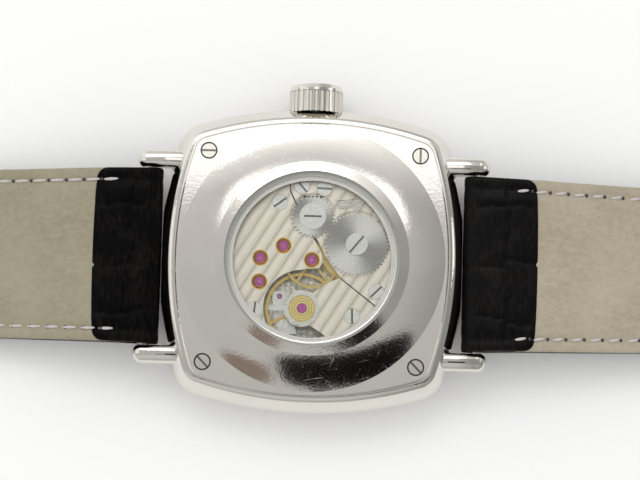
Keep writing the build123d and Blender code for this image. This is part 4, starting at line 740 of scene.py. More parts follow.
class Repeater:
    """Geometry Nodes tree that sets small bodies along a line or round a circle."""

    def __init__(self, name: str) -> None:
        """Start an empty tree with a geometry input and output."""
        self.tree = bpy.data.node_groups.new(name, "GeometryNodeTree")
        self.keys: dict[str, str] = {}
        self.tree.interface.new_socket(name="Geometry", in_out="INPUT", socket_type="NodeSocketGeometry")
        self.tree.interface.new_socket(name="Geometry", in_out="OUTPUT", socket_type="NodeSocketGeometry")

    def ask(self, name: str, kind: str = "NodeSocketFloat") -> None:
        """Add a named input."""
        socket = self.tree.interface.new_socket(name=name, in_out="INPUT", socket_type=kind)
        self.keys[name] = socket.identifier

    def node(self, kind: str, **links: object) -> bpy.types.Node:
        """Add a node and fill its inputs by name with sockets or values."""
        node = self.tree.nodes.new(kind)
        for key, value in links.items():
            socket = node.inputs[key.replace("_", " ")]
            if isinstance(value, bpy.types.NodeSocket):
                self.tree.links.new(value, socket)
            else:
                socket.default_value = value
        return node

    def run(self, base: bpy.types.Object, name: str, material: bpy.types.Material,
            **values: object) -> bpy.types.Object:
        """Run the tree on a base object and keep the result as a plain piece.

        Args:
            base: object that carries the line or point; it is deleted.
            name: the new piece's name.
            material: the piece's material.
            values: the tree's inputs by name.

        Returns:
            The piece.
        """
        modifier = base.modifiers.new("repeat", "NODES")
        modifier.node_group = self.tree
        for key, value in values.items():
            modifier[self.keys[key]] = value
        bpy.context.view_layer.update()
        graph = bpy.context.evaluated_depsgraph_get()
        mesh = bpy.data.meshes.new_from_object(base.evaluated_get(graph))
        bpy.data.objects.remove(base)
        return mesh_piece(name, mesh, material)


def stitch_tree() -> Repeater:
    """Tree that lays long rounded stitches along a line."""
    repeat = Repeater("stitch row")
    for name in ("Pitch", "Length", "Width", "Height", "Slant"):
        repeat.ask(name)
    repeat.ask("Material", "NodeSocketMaterial")
    enter = repeat.tree.nodes.new("NodeGroupInput")
    leave = repeat.tree.nodes.new("NodeGroupOutput")
    line = repeat.node("GeometryNodeMeshToCurve", Mesh=enter.outputs["Geometry"])
    spread = repeat.node("GeometryNodeResampleCurve", Curve=line.outputs[0])
    spread.mode = "LENGTH"
    repeat.tree.links.new(enter.outputs["Pitch"], spread.inputs["Length"])
    bead = repeat.node("GeometryNodeMeshUVSphere", Segments=8, Rings=6, Radius=0.5)
    size = repeat.node("ShaderNodeCombineXYZ", X=enter.outputs["Length"], Y=enter.outputs["Width"],
                       Z=enter.outputs["Height"])
    shaped = repeat.node("GeometryNodeTransform", Geometry=bead.outputs[0], Scale=size.outputs[0])
    tangent = repeat.node("GeometryNodeInputTangent")
    turned = repeat.node("FunctionNodeAlignRotationToVector", Vector=tangent.outputs[0])
    turned.axis = "X"
    upright = repeat.node("FunctionNodeAlignRotationToVector", Rotation=turned.outputs[0])
    upright.axis = "Z"
    upright.pivot_axis = "X"
    upright.inputs["Vector"].default_value = (0.0, 0.0, 1.0)
    lean = repeat.node("ShaderNodeCombineXYZ", Z=enter.outputs["Slant"])
    lean_turn = repeat.node("FunctionNodeEulerToRotation", Euler=lean.outputs[0])
    slanted = repeat.node("FunctionNodeRotateRotation", Rotation=upright.outputs[0],
                          Rotate_By=lean_turn.outputs[0])
    slanted.rotation_space = "LOCAL"
    beads = repeat.node("GeometryNodeInstanceOnPoints", Points=spread.outputs[0],
                        Instance=shaped.outputs[0], Rotation=slanted.outputs[0])
    real = repeat.node("GeometryNodeRealizeInstances", Geometry=beads.outputs[0])
    soft = repeat.node("GeometryNodeSetShadeSmooth", Geometry=real.outputs[0])
    dressed = repeat.node("GeometryNodeSetMaterial", Geometry=soft.outputs[0],
                          Material=enter.outputs["Material"])
    repeat.tree.links.new(dressed.outputs[0], leave.inputs[0])
    return repeat


def tick_tree() -> Repeater:
    """Tree that prints short bars round a circle."""
    repeat = Repeater("tick ring")
    repeat.ask("Count", "NodeSocketInt")
    for name in ("Radius", "Length", "Width", "Thickness"):
        repeat.ask(name)
    repeat.ask("Centre", "NodeSocketVector")
    repeat.ask("Material", "NodeSocketMaterial")
    enter = repeat.tree.nodes.new("NodeGroupInput")
    leave = repeat.tree.nodes.new("NodeGroupOutput")
    ring = repeat.node("GeometryNodeMeshCircle", Vertices=enter.outputs["Count"],
                       Radius=enter.outputs["Radius"])
    size = repeat.node("ShaderNodeCombineXYZ", X=enter.outputs["Length"], Y=enter.outputs["Width"],
                       Z=enter.outputs["Thickness"])
    bar = repeat.node("GeometryNodeMeshCube", Size=size.outputs[0])
    outward = repeat.node("GeometryNodeInputPosition")
    turned = repeat.node("FunctionNodeAlignRotationToVector", Vector=outward.outputs[0])
    turned.axis = "X"
    turned.pivot_axis = "Z"
    bars = repeat.node("GeometryNodeInstanceOnPoints", Points=ring.outputs[0], Instance=bar.outputs[0],
                       Rotation=turned.outputs[0])
    real = repeat.node("GeometryNodeRealizeInstances", Geometry=bars.outputs[0])
    moved = repeat.node("GeometryNodeTransform", Geometry=real.outputs[0],
                        Translation=enter.outputs["Centre"])
    dressed = repeat.node("GeometryNodeSetMaterial", Geometry=moved.outputs[0],
                          Material=enter.outputs["Material"])
    repeat.tree.links.new(dressed.outputs[0], leave.inputs[0])
    return repeat


def line_object(points: np.ndarray) -> bpy.types.Object:
    """Object with one chain of edges through points in millimetres."""
    mesh = bpy.data.meshes.new("line")
    mesh.from_pydata((points * MM).tolist(), [(i, i + 1) for i in range(len(points) - 1)], [])
    base = bpy.data.objects.new("line", mesh)
    bpy.context.scene.collection.objects.link(base)
    return base


@dataclass
class Hide:
    """Square scales of the outer leather: columns along the strap, rows across it, in millimetres."""

    seed: int
    first_groove: float
    first_rows: tuple[tuple[float, ...], ...]
    groove_depth: float = 0.20
    groove_width: float = 0.13
    pillow: float = 0.06
    shortest: float = 4.6
    longest: float = 6.4
    row_places: tuple[float, ...] = (-7.2, -0.3, 7.2)
    jitter: float = 0.7

    def relief(self, along: np.ndarray, across: np.ndarray, reach: float) -> np.ndarray:
        """Height of the hide above its scale tops, zero or less.

        Args:
            along: distance along the strap.
            across: distance across the strap from its middle.
            reach: full length to cover.

        Returns:
            Height for each point.
        """
        dice = np.random.default_rng(self.seed)
        edges = [self.first_groove]
        while edges[-1] < reach + self.longest:
            edges.append(edges[-1] + dice.uniform(self.shortest, self.longest))
        starts = np.array([self.first_groove - self.longest] + edges)
        bends = dice.uniform(0.0, 2.0 * math.pi, (len(starts), 2))
        rows = [np.array(self.row_places) + dice.uniform(-self.jitter, self.jitter, len(self.row_places))
                for _ in starts]
        for index, places in enumerate(self.first_rows):
            rows[index] = np.array(places)
        lines = np.stack([start + 0.30 * np.sin(across * 0.62 + bend[0]) + 0.14 * np.sin(across * 2.3 + bend[1])
                          for start, bend in zip(starts, bends)])
        column = np.clip((along[None] >= lines).sum(0) - 1, 0, len(starts) - 1)
        gap_along = np.abs(along[None] - lines).min(0)
        gap_across = np.full(along.shape, 99.0)
        for index, places in enumerate(rows):
            here = column == index
            for number, place in enumerate(places):
                wander = place + 0.20 * np.sin(along * 0.9 + bends[index][0] + number)
                gap_across = np.where(here, np.minimum(gap_across, np.abs(across - wander)), gap_across)
        gap = np.minimum(gap_along, gap_across)
        groove = np.exp(-(gap / self.groove_width) ** 2)
        shoulder = np.exp(-(gap / (4.5 * self.groove_width)) ** 2)
        return -self.groove_depth * groove - self.pillow * shoulder


@dataclass
class StrapHalf:
    """One strap half: hide round the spring bar, lining, edges and stitch rows. Sizes in millimetres."""

    name: str
    side: Side
    body: str
    hide: Hide
    length: float
    rest_height: float
    wrap_run: float
    stitch_slant: float
    stitch_length: float
    bar_x: float = 20.9
    bar_z: float = 5.9
    nose_radius: float = 1.95
    bore_radius: float = 0.82
    full_width: float = 22.2
    end_width: float = 18.0
    thickness: float = 2.0
    lining_thickness: float = 0.7
    fall_run: float = 38.0
    fall_shares: tuple[tuple[float, float], ...] = ((0.0, 1.0), (0.16, 0.93), (0.42, 0.52), (0.72, 0.13),
                                                    (1.0, 0.0))
    tip_length: float = 8.0
    wrap_corner: float = 1.4
    stitch_inset: float = 1.55
    stitch_pitch: float = 2.35
    stitch_width: float = 0.40
    hole_radius: float = 0.95
    hole_pitch: float = 6.5
    hole_count: int = 7
    first_hole: float = 28.0
    slot_half: float = 1.1
    step: float = 0.3
    pieces: list[bpy.types.Object] = field(default_factory=list)

    def fall(self, run: np.ndarray) -> np.ndarray:
        """Share of the drop that is still above a place, from one at the bar to zero."""
        places = [share[0] * self.fall_run for share in self.fall_shares]
        heights = [share[1] for share in self.fall_shares]
        slopes = [0.0]
        for index in range(1, len(places) - 1):
            slopes.append((heights[index + 1] - heights[index - 1]) / (places[index + 1] - places[index - 1]))
        slopes.append(0.0)
        result = np.where(run <= 0, 1.0, 0.0)
        for index in range(len(places) - 1):
            low, high = places[index], places[index + 1]
            span = high - low
            t = np.clip((run - low) / span, 0.0, 1.0)
            value = ((2 * t ** 3 - 3 * t ** 2 + 1) * heights[index] + (t ** 3 - 2 * t ** 2 + t) * span * slopes[index]
                     + (3 * t ** 2 - 2 * t ** 3) * heights[index + 1] + (t ** 3 - t ** 2) * span * slopes[index + 1])
            result = np.where((run > low) & (run <= high), value, result)
        return result

    def top(self, run: np.ndarray) -> np.ndarray:
        """Height of the lining side at a distance from the bar."""
        low = self.rest_height + self.thickness
        return low + self.fall(run) * (self.bar_z + self.nose_radius - low)

    def bottom(self, run: np.ndarray) -> np.ndarray:
        """Height of the hide side at a distance from the bar."""
        return self.rest_height + self.fall(run) * (self.bar_z - self.nose_radius - self.rest_height)

    def half_width(self, run: np.ndarray) -> np.ndarray:
        """Half of the strap's width at a distance from the bar."""
        start = -(self.nose_radius + 1.0)
        if self.side is Side.SIX:
            end = self.length - self.tip_length
        else:
            end = self.length + self.thickness
        share = np.clip((run - start) / (end - start), 0.0, 1.0)
        half = (self.full_width + share * (self.end_width - self.full_width)) / 2
        if self.side is Side.SIX:
            chord = self.end_width / 2
            radius = (chord ** 2 + self.tip_length ** 2) / (2 * self.tip_length)
            past = np.clip(run - (self.length - radius), 0.0, radius)
            round_half = np.sqrt(np.maximum(radius ** 2 - past ** 2, 0.0))
            half = np.where(run > end, np.minimum(half, round_half), half)
        return half

    def stations(self, start: float, end: float) -> np.ndarray:
        """Even places from start to end, denser towards a round tip."""
        count = max(2, int(abs(end - start) / self.step))
        places = np.linspace(start, end, count)
        if self.side is Side.SIX and end > self.length - self.tip_length:
            tip = self.length - self.tip_length
            body = places[places < tip]
            turn = np.linspace(0.0, math.pi / 2, 34)
            places = np.concatenate([body, tip + (end - tip) * np.sin(turn)])
        return places

    def drop(self, across: np.ndarray, half: np.ndarray, pad: float, roll: float = 0.45) -> np.ndarray:
        """How far the surface lies below its middle: padding, stitch channel and rolled edge."""
        inside = half - np.abs(across)
        slope = np.clip((3.0 - inside) / 1.6, 0.0, 1.0)
        slope = slope * slope * (3 - 2 * slope)
        channel = 0.12 * np.exp(-((inside - self.stitch_inset) / 0.40) ** 2)
        near = np.clip((roll - inside) / roll, 0.0, 1.0)
        rolled = roll * (1 - np.sqrt(np.maximum(1 - near ** 2, 0.0)))
        return pad * slope + channel + rolled

    def columns(self, half: float) -> np.ndarray:
        """Places across the strap as shares of its half width, closer at the edges."""
        even = np.linspace(-1.0, 1.0, int(2 * half / self.step) + 1)
        rim = 1 - np.array([0.0, 0.06, 0.15, 0.28]) / half
        inner = even[np.abs(even) < rim[-1] - 0.01]
        return np.concatenate([-rim, inner, rim[::-1]])

    def put(self, run: np.ndarray, across: np.ndarray, height: np.ndarray) -> np.ndarray:
        """Points of the row frame from run, place across and height."""
        sign = self.side.value
        return np.stack([sign * (self.bar_x + run), across, height], axis=-1)

    def hide_shell(self) -> Shell:
        """Outer leather as a thick sheet from the wrap's end, round the bar and along to the far end."""
        wrap = np.linspace(1.0, 0.0, int(self.wrap_run / self.step) + 2)[:-1]
        turn = np.linspace(0.0, math.pi, int(math.pi * self.nose_radius / self.step) + 2)
        end = self.length - (0.02 if self.side is Side.SIX else 0.0)
        lower = self.stations(0.0, end)[1:]
        back = np.zeros(0)
        if self.side is Side.TWELVE:
            back = np.linspace(0.0, math.pi, 12)[1:]
        rows = len(wrap) + len(turn) + len(lower) + len(back) + (5 if len(back) else 0)
        share = self.columns(self.full_width / 2)
        outer_run = np.zeros((rows, len(share)))
        outer_z = np.zeros_like(outer_run)
        inner_run = np.zeros_like(outer_run)
        inner_z = np.zeros_like(outer_run)
        half_at = np.zeros(rows)
        row = 0
        middle_run = 3.0
        for value in wrap:
            run = value * self.wrap_run
            half_at[row] = float(self.half_width(np.array(run)))
            inside = half_at[row] * (1 - np.abs(share))
            corner = np.clip(self.wrap_corner - inside, 0.0, None)
            cut = self.wrap_corner - np.sqrt(np.maximum(self.wrap_corner ** 2 - corner ** 2, 0.0))
            bow = 0.25 * share ** 2
            here = run - value * (cut + bow)
            lift = 0.16 * min(1.0, 2.2 * value)
            skin = 0.62 - 0.18 * value ** 4
            outer_run[row] = here
            outer_z[row] = self.top(here) + lift - 0.10 * value ** 12
            open_share = np.sqrt(np.maximum(1 - (here / middle_run) ** 2, 0.0))
            inner_run[row] = here
            inner_z[row] = np.where(here < middle_run,
                                    self.bar_z + (self.bore_radius - 0.35) * open_share + 0.35 * open_share
                                    + (1 - open_share) * (self.top(here) - skin - self.bar_z),
                                    self.top(here) + lift - skin)
            row += 1
        for value in turn:
            angle = math.pi / 2 + value
            half_at[row] = float(self.half_width(np.array(self.nose_radius * math.cos(angle))))
            outer_run[row] = self.nose_radius * math.cos(angle)
            outer_z[row] = self.bar_z + self.nose_radius * math.sin(angle)
            inner_run[row] = self.bore_radius * math.cos(angle)
            inner_z[row] = self.bar_z + self.bore_radius * math.sin(angle)
            row += 1
        for run in lower:
            half_at[row] = float(self.half_width(np.array(run)))
            outer_run[row] = run
            outer_z[row] = self.bottom(np.array(run))
            open_share = math.sqrt(max(1 - (run / middle_run) ** 2, 0.0))
            inner_run[row] = run
            seam = float(self.top(np.array(run))) - self.lining_thickness
            inner_z[row] = open_share * (self.bar_z - self.bore_radius) + (1 - open_share) * seam
            row += 1
        radius = self.thickness / 2
        for value in back:
            angle = -math.pi / 2 + value
            half_at[row] = float(self.half_width(np.array(self.length + radius * math.cos(angle))))
            outer_run[row] = self.length + radius * math.cos(angle)
            outer_z[row] = self.rest_height + radius + radius * math.sin(angle)
            inner_run[row] = self.length + 0.55 * math.cos(angle)
            inner_z[row] = self.rest_height + radius + 0.55 * math.sin(angle)
            row += 1
        if len(back):
            for number in range(5):
                run = self.length - 0.6 * (number + 1)
                half_at[row] = float(self.half_width(np.array(run)))
                outer_run[row] = run
                outer_z[row] = self.rest_height + self.thickness
                inner_run[row] = run
                inner_z[row] = self.rest_height + self.thickness - 0.45
                row += 1
        across = share[None] * half_at[:, None]
        steps = np.hypot(np.diff(outer_run, axis=0), np.diff(outer_z, axis=0))
        along = np.concatenate([np.zeros((1, len(share))), np.cumsum(steps, axis=0)])
        along = along - along[len(wrap)][None] + self.wrap_run
        slope_run = np.gradient(outer_run, axis=0)
        slope_z = np.gradient(outer_z, axis=0)
        size = np.maximum(np.hypot(slope_run, slope_z), 1e-9)
        normal_run, normal_z = slope_z / size, -slope_run / size
        height = self.hide.relief(along, across, along.max())
        is_nose = np.zeros(rows)
        is_nose[len(wrap):len(wrap) + len(turn)] = 1.0
        round_nose = np.zeros(rows)
        round_nose[len(wrap):len(wrap) + len(turn)] = np.sin(turn)
        is_wrap = np.zeros(rows)
        is_wrap[:len(wrap)] = 1.0
        pad = 0.45 * (1 - is_nose) * (1 - is_wrap) + 0.12 * is_wrap + 0.05
        drop = self.drop(across, half_at[:, None], 1.0) * 0.0
        for index in range(rows):
            drop[index] = self.drop(across[index], half_at[index], pad[index]) * (1 - 0.6 * round_nose[index])
        calm = 1 - 0.55 * np.clip((2.2 - (half_at[:, None] - np.abs(across))) / 1.4, 0.0, 1.0)
        calm *= np.clip(along, 0.25, 1.0)
        push = height * calm * (1 - 0.75 * is_nose[:, None]) - drop
        push = np.maximum(push, -0.9)
        outer = self.put(outer_run + normal_run * push, across, outer_z + normal_z * push)
        inner = self.put(inner_run, across, inner_z)
        return Shell(outer, inner, np.stack([along, across], axis=-1))

    def lining_shell(self) -> Shell:
        """Lining as a thick sheet from under the wrap to the far end."""
        end = self.length - (0.05 if self.side is Side.SIX else self.thickness)
        runs = self.stations(self.wrap_run - 2.6, end)
        share = self.columns(self.full_width / 2)
        half = self.half_width(runs) - 0.02
        run = np.repeat(runs[:, None], len(share), axis=1)
        across = share[None] * half[:, None]
        drop = self.drop(across, half[:, None], 0.10, 0.28)
        tuck = 0.30 * np.clip((self.wrap_run - 0.2 - run) / 1.0, 0.0, 1.0)
        ripple = 0.05 * np.sin(run * 0.21) * np.cos(across * 0.3)
        top = self.top(run) - drop - tuck + ripple
        low = self.top(run) - self.lining_thickness + 0.01
        top = np.maximum(top, low + 0.08)
        chart = np.stack([run, across], axis=-1)
        return Shell(self.put(run, across, top), self.put(run, across, low), chart)

    def punch(self, piece: bpy.types.Object) -> None:
        """Cut the tongue's holes or the tongue's slot through a piece."""
        work = bmesh.new()
        sign = self.side.value
        if self.side is Side.SIX:
            for number in range(self.hole_count):
                run = self.length - self.first_hole - number * self.hole_pitch
                place = Matrix.Translation((sign * (self.bar_x + run) * MM, 0.0, self.thickness / 2 * MM))
                bmesh.ops.create_cone(work, cap_ends=True, segments=32, radius1=self.hole_radius * MM,
                                      radius2=self.hole_radius * MM, depth=9.0 * MM, matrix=place)
        else:
            place = Matrix.Translation((sign * (self.bar_x + self.length + 1.0) * MM, 0.0,
                                        (self.rest_height + self.thickness / 2) * MM))
            size = Matrix.Diagonal((6.0 * MM, 2 * self.slot_half * MM, 6.0 * MM, 1.0))
            bmesh.ops.create_cube(work, size=1.0, matrix=place @ size)
        mesh = bpy.data.meshes.new("punch")
        work.to_mesh(mesh)
        work.free()
        tool = bpy.data.objects.new("punch", mesh)
        bpy.context.scene.collection.objects.link(tool)
        cut = piece.modifiers.new("punch", "BOOLEAN")
        cut.operation = "DIFFERENCE"
        cut.solver = "EXACT"
        cut.object = tool
        bpy.context.view_layer.update()
        graph = bpy.context.evaluated_depsgraph_get()
        result = bpy.data.meshes.new_from_object(piece.evaluated_get(graph))
        piece.modifiers.clear()
        old = piece.data
        piece.data = result
        bpy.data.meshes.remove(old)
        bpy.data.objects.remove(tool)

    def rows(self, top_side: bool) -> list[np.ndarray]:
        """Lines of the stitch rows on the lining side or the hide side."""
        start = self.wrap_run - 2.0 if top_side else 3.2
        if self.side is Side.SIX:
            runs = np.arange(start, self.length - self.tip_length, 0.5)
        else:
            runs = np.arange(start, self.length - 4.5, 0.5)
        half = self.half_width(runs) - self.stitch_inset

        def level(run: np.ndarray, half_here: np.ndarray) -> np.ndarray:
            if top_side:
                over = 0.16 * np.clip((self.wrap_run + 0.1 - run) / 0.5, 0.0, 1.0)
                return self.top(run) - 0.14 + over
            return self.bottom(run) + 0.66

        lines = []
        upper = self.put(runs, half, level(runs, half))
        lower = self.put(runs, -half, level(runs, half))
        if self.side is Side.TWELVE:
            return [upper, lower]
        chord = self.end_width / 2
        radius = (chord ** 2 + self.tip_length ** 2) / (2 * self.tip_length)
        centre = self.length - radius
        reach = radius - self.stitch_inset
        widest = math.asin(min(1.0, half[-1] / reach))
        angles = np.linspace(widest, -widest, 40)[1:-1]
        tip_run = centre + reach * np.cos(angles)
        tip = self.put(tip_run, reach * np.sin(angles), level(tip_run, half[-1]))
        lines.append(np.concatenate([upper, tip, lower[::-1]]))
        return lines

    def build(self, leather: bpy.types.Material, lining: bpy.types.Material, rim: bpy.types.Material,
              thread: bpy.types.Material, pricks: bpy.types.Material, stitches: Repeater) -> None:
        """Build and place every piece of the half.

        Args:
            leather: outer leather.
            lining: lining leather.
            rim: paint on the cut edges.
            thread: stitching thread.
            pricks: painted shade of the needle holes, dark beads set in place of the holes.
            stitches: tree that lays the stitches.
        """
        hide = mesh_piece(f"{self.name}_hide", self.hide_shell().mesh(f"{self.name}_hide"), leather, rim)
        skin = mesh_piece(f"{self.name}_lining", self.lining_shell().mesh(f"{self.name}_lining", 1), lining, rim)
        self.punch(hide)
        if self.side is Side.SIX:
            self.punch(skin)
        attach(hide, self.body)
        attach(skin, self.body)
        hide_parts(f"strap_{self.name}_leather")
        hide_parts(f"strap_{self.name}_lining")
        self.pieces += [hide, skin]
        for number, top_side in enumerate((True, False)):
            for index, line in enumerate(self.rows(top_side)):
                tag = f"{self.name}_{'inside' if top_side else 'outside'}_{index}"
                slant = math.radians(self.stitch_slant) * (1 if top_side else -1)
                row = stitches.run(line_object(line), f"stitches_{tag}", thread, Pitch=self.stitch_pitch * MM,
                                   Length=self.stitch_length * MM, Width=self.stitch_width * MM,
                                   Height=0.30 * MM, Slant=slant, Material=thread)
                # Dark beads between the stitches are painted shade of the needle holes.
                shifted = line_object(self.between(line))
                holes = stitches.run(shifted, f"needle_holes_{tag}", pricks, Pitch=self.stitch_pitch * MM,
                                     Length=0.42 * MM, Width=0.46 * MM, Height=0.20 * MM, Slant=0.0,
                                     Material=pricks)
                for piece in (row, holes):
                    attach(piece, self.body)
                    self.pieces.append(piece)
        LOG.info("%s strap half: %d pieces", self.name, len(self.pieces))

    def between(self, line: np.ndarray) -> np.ndarray:
        """The same line, begun half a stitch further on."""
        steps = np.linalg.norm(np.diff(line, axis=0), axis=1)
        place = np.concatenate([[0.0], np.cumsum(steps)])
        count = max(1, round(place[-1] / self.stitch_pitch))
        even = place[-1] / count
        grid = np.arange(even / 2, place[-1], 0.5 * even / 2)
        return np.stack([np.interp(grid, place, line[:, axis]) for axis in range(3)], axis=-1)


@dataclass
class Keeper:
    """Leather loop round the short strap, with a rolled outside and a stitched join. Sizes in millimetres."""

    name: str
    node: str
    body: str
    wall: float = 0.9
    corner: float = 0.9
    crown: float = 0.18

    def build(self, leather: bpy.types.Material, rim: bpy.types.Material) -> None:
        """Build the loop in the space of its solid.

        Args:
            leather: outer leather.
            rim: paint on the cut edges.
        """
        low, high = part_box(self.node)
        x0, x1 = low.x / MM, high.x / MM
        y_half, z0, z1 = high.y / MM, low.z / MM, high.z / MM
        path = self.outline(y_half, z0, z1, self.corner)
        inside = self.outline(y_half - self.wall, z0 + self.wall, z1 - self.wall, 0.3)
        columns = np.linspace(x0, x1, 22)
        share = (columns - x0) / (x1 - x0) * 2 - 1
        near = np.clip((np.abs(share) - 0.84) / 0.16, 0.0, 1.0)
        sink = self.crown * share ** 2 + 0.25 * (1 - np.sqrt(np.maximum(1 - near ** 2, 0.0)))
        seam = 0.10 * np.exp(-((np.abs(share) - 0.66) / 0.07) ** 2)
        normal = self.normals(path)
        steps = np.linalg.norm(np.roll(path, -1, axis=0) - path, axis=1)
        along = np.concatenate([[0.0], np.cumsum(steps)[:-1]])
        ripple = 0.05 * (0.5 + 0.5 * np.sin(along * 1.7)) * np.abs(np.sin(along * 0.55))
        inward = (sink + seam)[None, :] + ripple[:, None]
        rows = len(path)
        outer = np.zeros((rows, len(columns), 3))
        inner = np.zeros_like(outer)
        outer[..., 0] = columns[None, :]
        inner[..., 0] = columns[None, :]
        for axis in (0, 1):
            outer[..., axis + 1] = path[:, None, axis] - normal[:, None, axis] * inward
            inner[..., axis + 1] = inside[:, None, axis]
        chart = np.stack(np.broadcast_arrays(along[:, None], columns[None, :]), axis=-1)
        mesh = Shell(outer, inner, chart, looped=True).mesh(self.name)
        piece = mesh_piece(self.name, mesh, leather, rim)
        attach(piece, self.body)
        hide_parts(self.node)
        LOG.info("%s", self.name)

    def outline(self, half: float, low: float, high: float, corner: float) -> np.ndarray:
        """Rounded rectangle in Y and Z with the same number of points for any size."""
        points = []
        centres = ((half - corner, high - corner, 0.0), (-half + corner, high - corner, 90.0),
                   (-half + corner, low + corner, 180.0), (half - corner, low + corner, 270.0))
        for index, (y, z, start) in enumerate(centres):
            for angle in np.radians(np.linspace(start, start + 90.0, 9)):
                points.append((y + corner * math.cos(angle), z + corner * math.sin(angle)))
            following = centres[(index + 1) % 4]
            ahead = math.radians(start + 90.0)
            first = np.array((y + corner * math.cos(ahead), z + corner * math.sin(ahead)))
            second = np.array((following[0] + corner * math.cos(ahead), following[1] + corner * math.sin(ahead)))
            count = 44 if index % 2 == 0 else 8
            for share in np.linspace(0.0, 1.0, count + 2)[1:-1]:
                points.append(tuple(first + (second - first) * share))
        return np.array(points)

    def normals(self, path: np.ndarray) -> np.ndarray:
        """Outward directions along a closed path."""
        tangent = np.roll(path, -1, axis=0) - np.roll(path, 1, axis=0)
        tangent /= np.linalg.norm(tangent, axis=1)[:, None]
        return np.stack([tangent[:, 1], -tangent[:, 0]], axis=-1)


@dataclass
class CaseDress:
    """Finishes of the case, its back, crown and buckle."""

    polished: tuple[str, ...] = ("midcase", "bezel", "crown", "crown_tube", "buckle_frame", "buckle_tongue")
    cover: tuple[str, ...] = ("rear_cover",)
    screws: tuple[str, ...] = ("rear_cover_screws",)
    satin: tuple[str, ...] = ("dial_ring", "movement_ring", "spring_bars")
    front_chamfer: float = 0.2
    clearance: float = 0.015

    def dress(self) -> None:
        """Put each finish on its nodes."""
        dress(self.polished, SteelFinish("polished_steel", (0.76, 0.735, 0.68)))
        # The cover takes painted shade below its top face and outside the window's radius.
        dress(self.cover, SteelFinish("cover_steel", haze=0.06, grit=0.003, painted_shade_from=0.0, painted_shade_to=8.02, painted_shade_beyond=12.4,
                                      lip_radius=10.99))
        # Painted shade darkens the screws below their head tops, in the slots and round the heads.
        dress(self.screws, SteelFinish("screw_steel", (0.80, 0.77, 0.70), 0.10, painted_shade_from=7.0, painted_shade_to=8.16, painted_shade_share=0.25))
        dress(self.satin, SatinFinish("satin_steel", (0.60, 0.60, 0.58)))
        self.crystals()
        dress(("crystal_gaskets",), MouldedFinish("pale_seal", (0.36, 0.37, 0.34), 0.30))
        dress(("rear_cover_gasket", "crown_gasket"), MouldedFinish("black_seal", (0.02, 0.02, 0.02)))
        LOG.info("case dressed")


    def crystals(self) -> None:
        """Set both crystals a hair off the metal that they rest on, with polished chamfers."""
        glass = CrystalFinish("crystal").make()
        for name, rests_up in (("front_crystal", True), ("rear_crystal", False)):
            low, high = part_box(name)
            radius, bottom, top = high.x / MM, low.z / MM, high.z / MM
            edge = self.front_chamfer
            if rests_up:
                profile = [(radius - edge, bottom), (radius, bottom + edge), (radius, top - self.clearance)]
            else:
                profile = [(radius, bottom + self.clearance), (radius, top - edge), (radius - edge, top)]
            piece = mesh_piece(f"{name}_glass", turned_mesh(f"{name}_glass", profile), glass)
            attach(piece, "root")
            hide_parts(name)


@dataclass
class MovementDress:
    """Finishes of the hand wound movement."""

    ratchet_centre: tuple[float, float] = (5.58035, 2.1203)
    crown_wheel_centre: tuple[float, float] = (-0.03961, 5.530255)
    balance_centre: tuple[float, float] = (-1.09044, -6.16052)
    train_centres: tuple[tuple[float, float], ...] = ((0.0, 0.0), (-3.6115, 1.71255), (-6.48905, 0.10485),
                                                      (-6.529825, -2.90085))
    pallet_centre: tuple[float, float] = (-3.94935, -4.55981)

    def dress(self) -> None:
        """Put each finish on its nodes."""
        dress(("train_bridge", "barrel_bridge", "balance_cock"), StripedFinish("striped_nickel"))
        dress(("main_plate",), SpottedFinish("spotted_nickel"))
        dress(("ratchet_wheel",), SunrayFinish("ratchet_sunray", self.ratchet_centre))
        dress(("crown_wheel",), SunrayFinish("crown_wheel_sunray", self.crown_wheel_centre))
        dress(("casing_clamps", "click", "winding_stem", "winding_pinion", "sliding_pinion"),
              SteelFinish("bright_steel", (0.80, 0.78, 0.72), 0.08))
        # Painted shade darkens each slot, from 0.32 mm to 0.14 mm below the part's top.
        for name in ("bridge_screws", "barrel_arbor", "crown_wheel_core"):
            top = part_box(name)[1].z / MM
            dress((name,), SteelFinish(f"{name}_steel", (0.92, 0.90, 0.85), 0.20, painted_shade_from=top - 0.32,
                                       painted_shade_to=top - 0.14, painted_shade_share=0.25))
        dress(("pallet_cock", "regulator", "click_spring"),
              SatinFinish("frosted_steel", (0.78, 0.77, 0.73), 30.0, 0.22))
        dress(("pallet_fork", "escape_wheel", "setting_wheel", "mainspring"),
              SatinFinish("dark_steel", (0.50, 0.50, 0.49), 60.0, 0.24))
        dress(("centre_wheel", "third_wheel", "fourth_wheel", "minute_wheel", "hour_wheel", "cannon_pinion",
               "barrel_drum", "barrel_cover"), GiltFinish("gilt_brass", (0.66, 0.50, 0.19), 0.24))
        dress(("balance_wheel",), GiltFinish("balance_gold", (0.74, 0.52, 0.18), 0.20))
        dress(("jewel_settings",), SettingFinish("setting_gold", self.train_centres, self.balance_centre))
        dress(("jewels",), RubyFinish("ruby", (*self.train_centres, self.balance_centre,
                                               self.pallet_centre)))
        dress(("hairspring", "hour_hand", "minute_hand", "seconds_hand"), BluedFinish("blued_steel"))
        LOG.info("movement dressed")


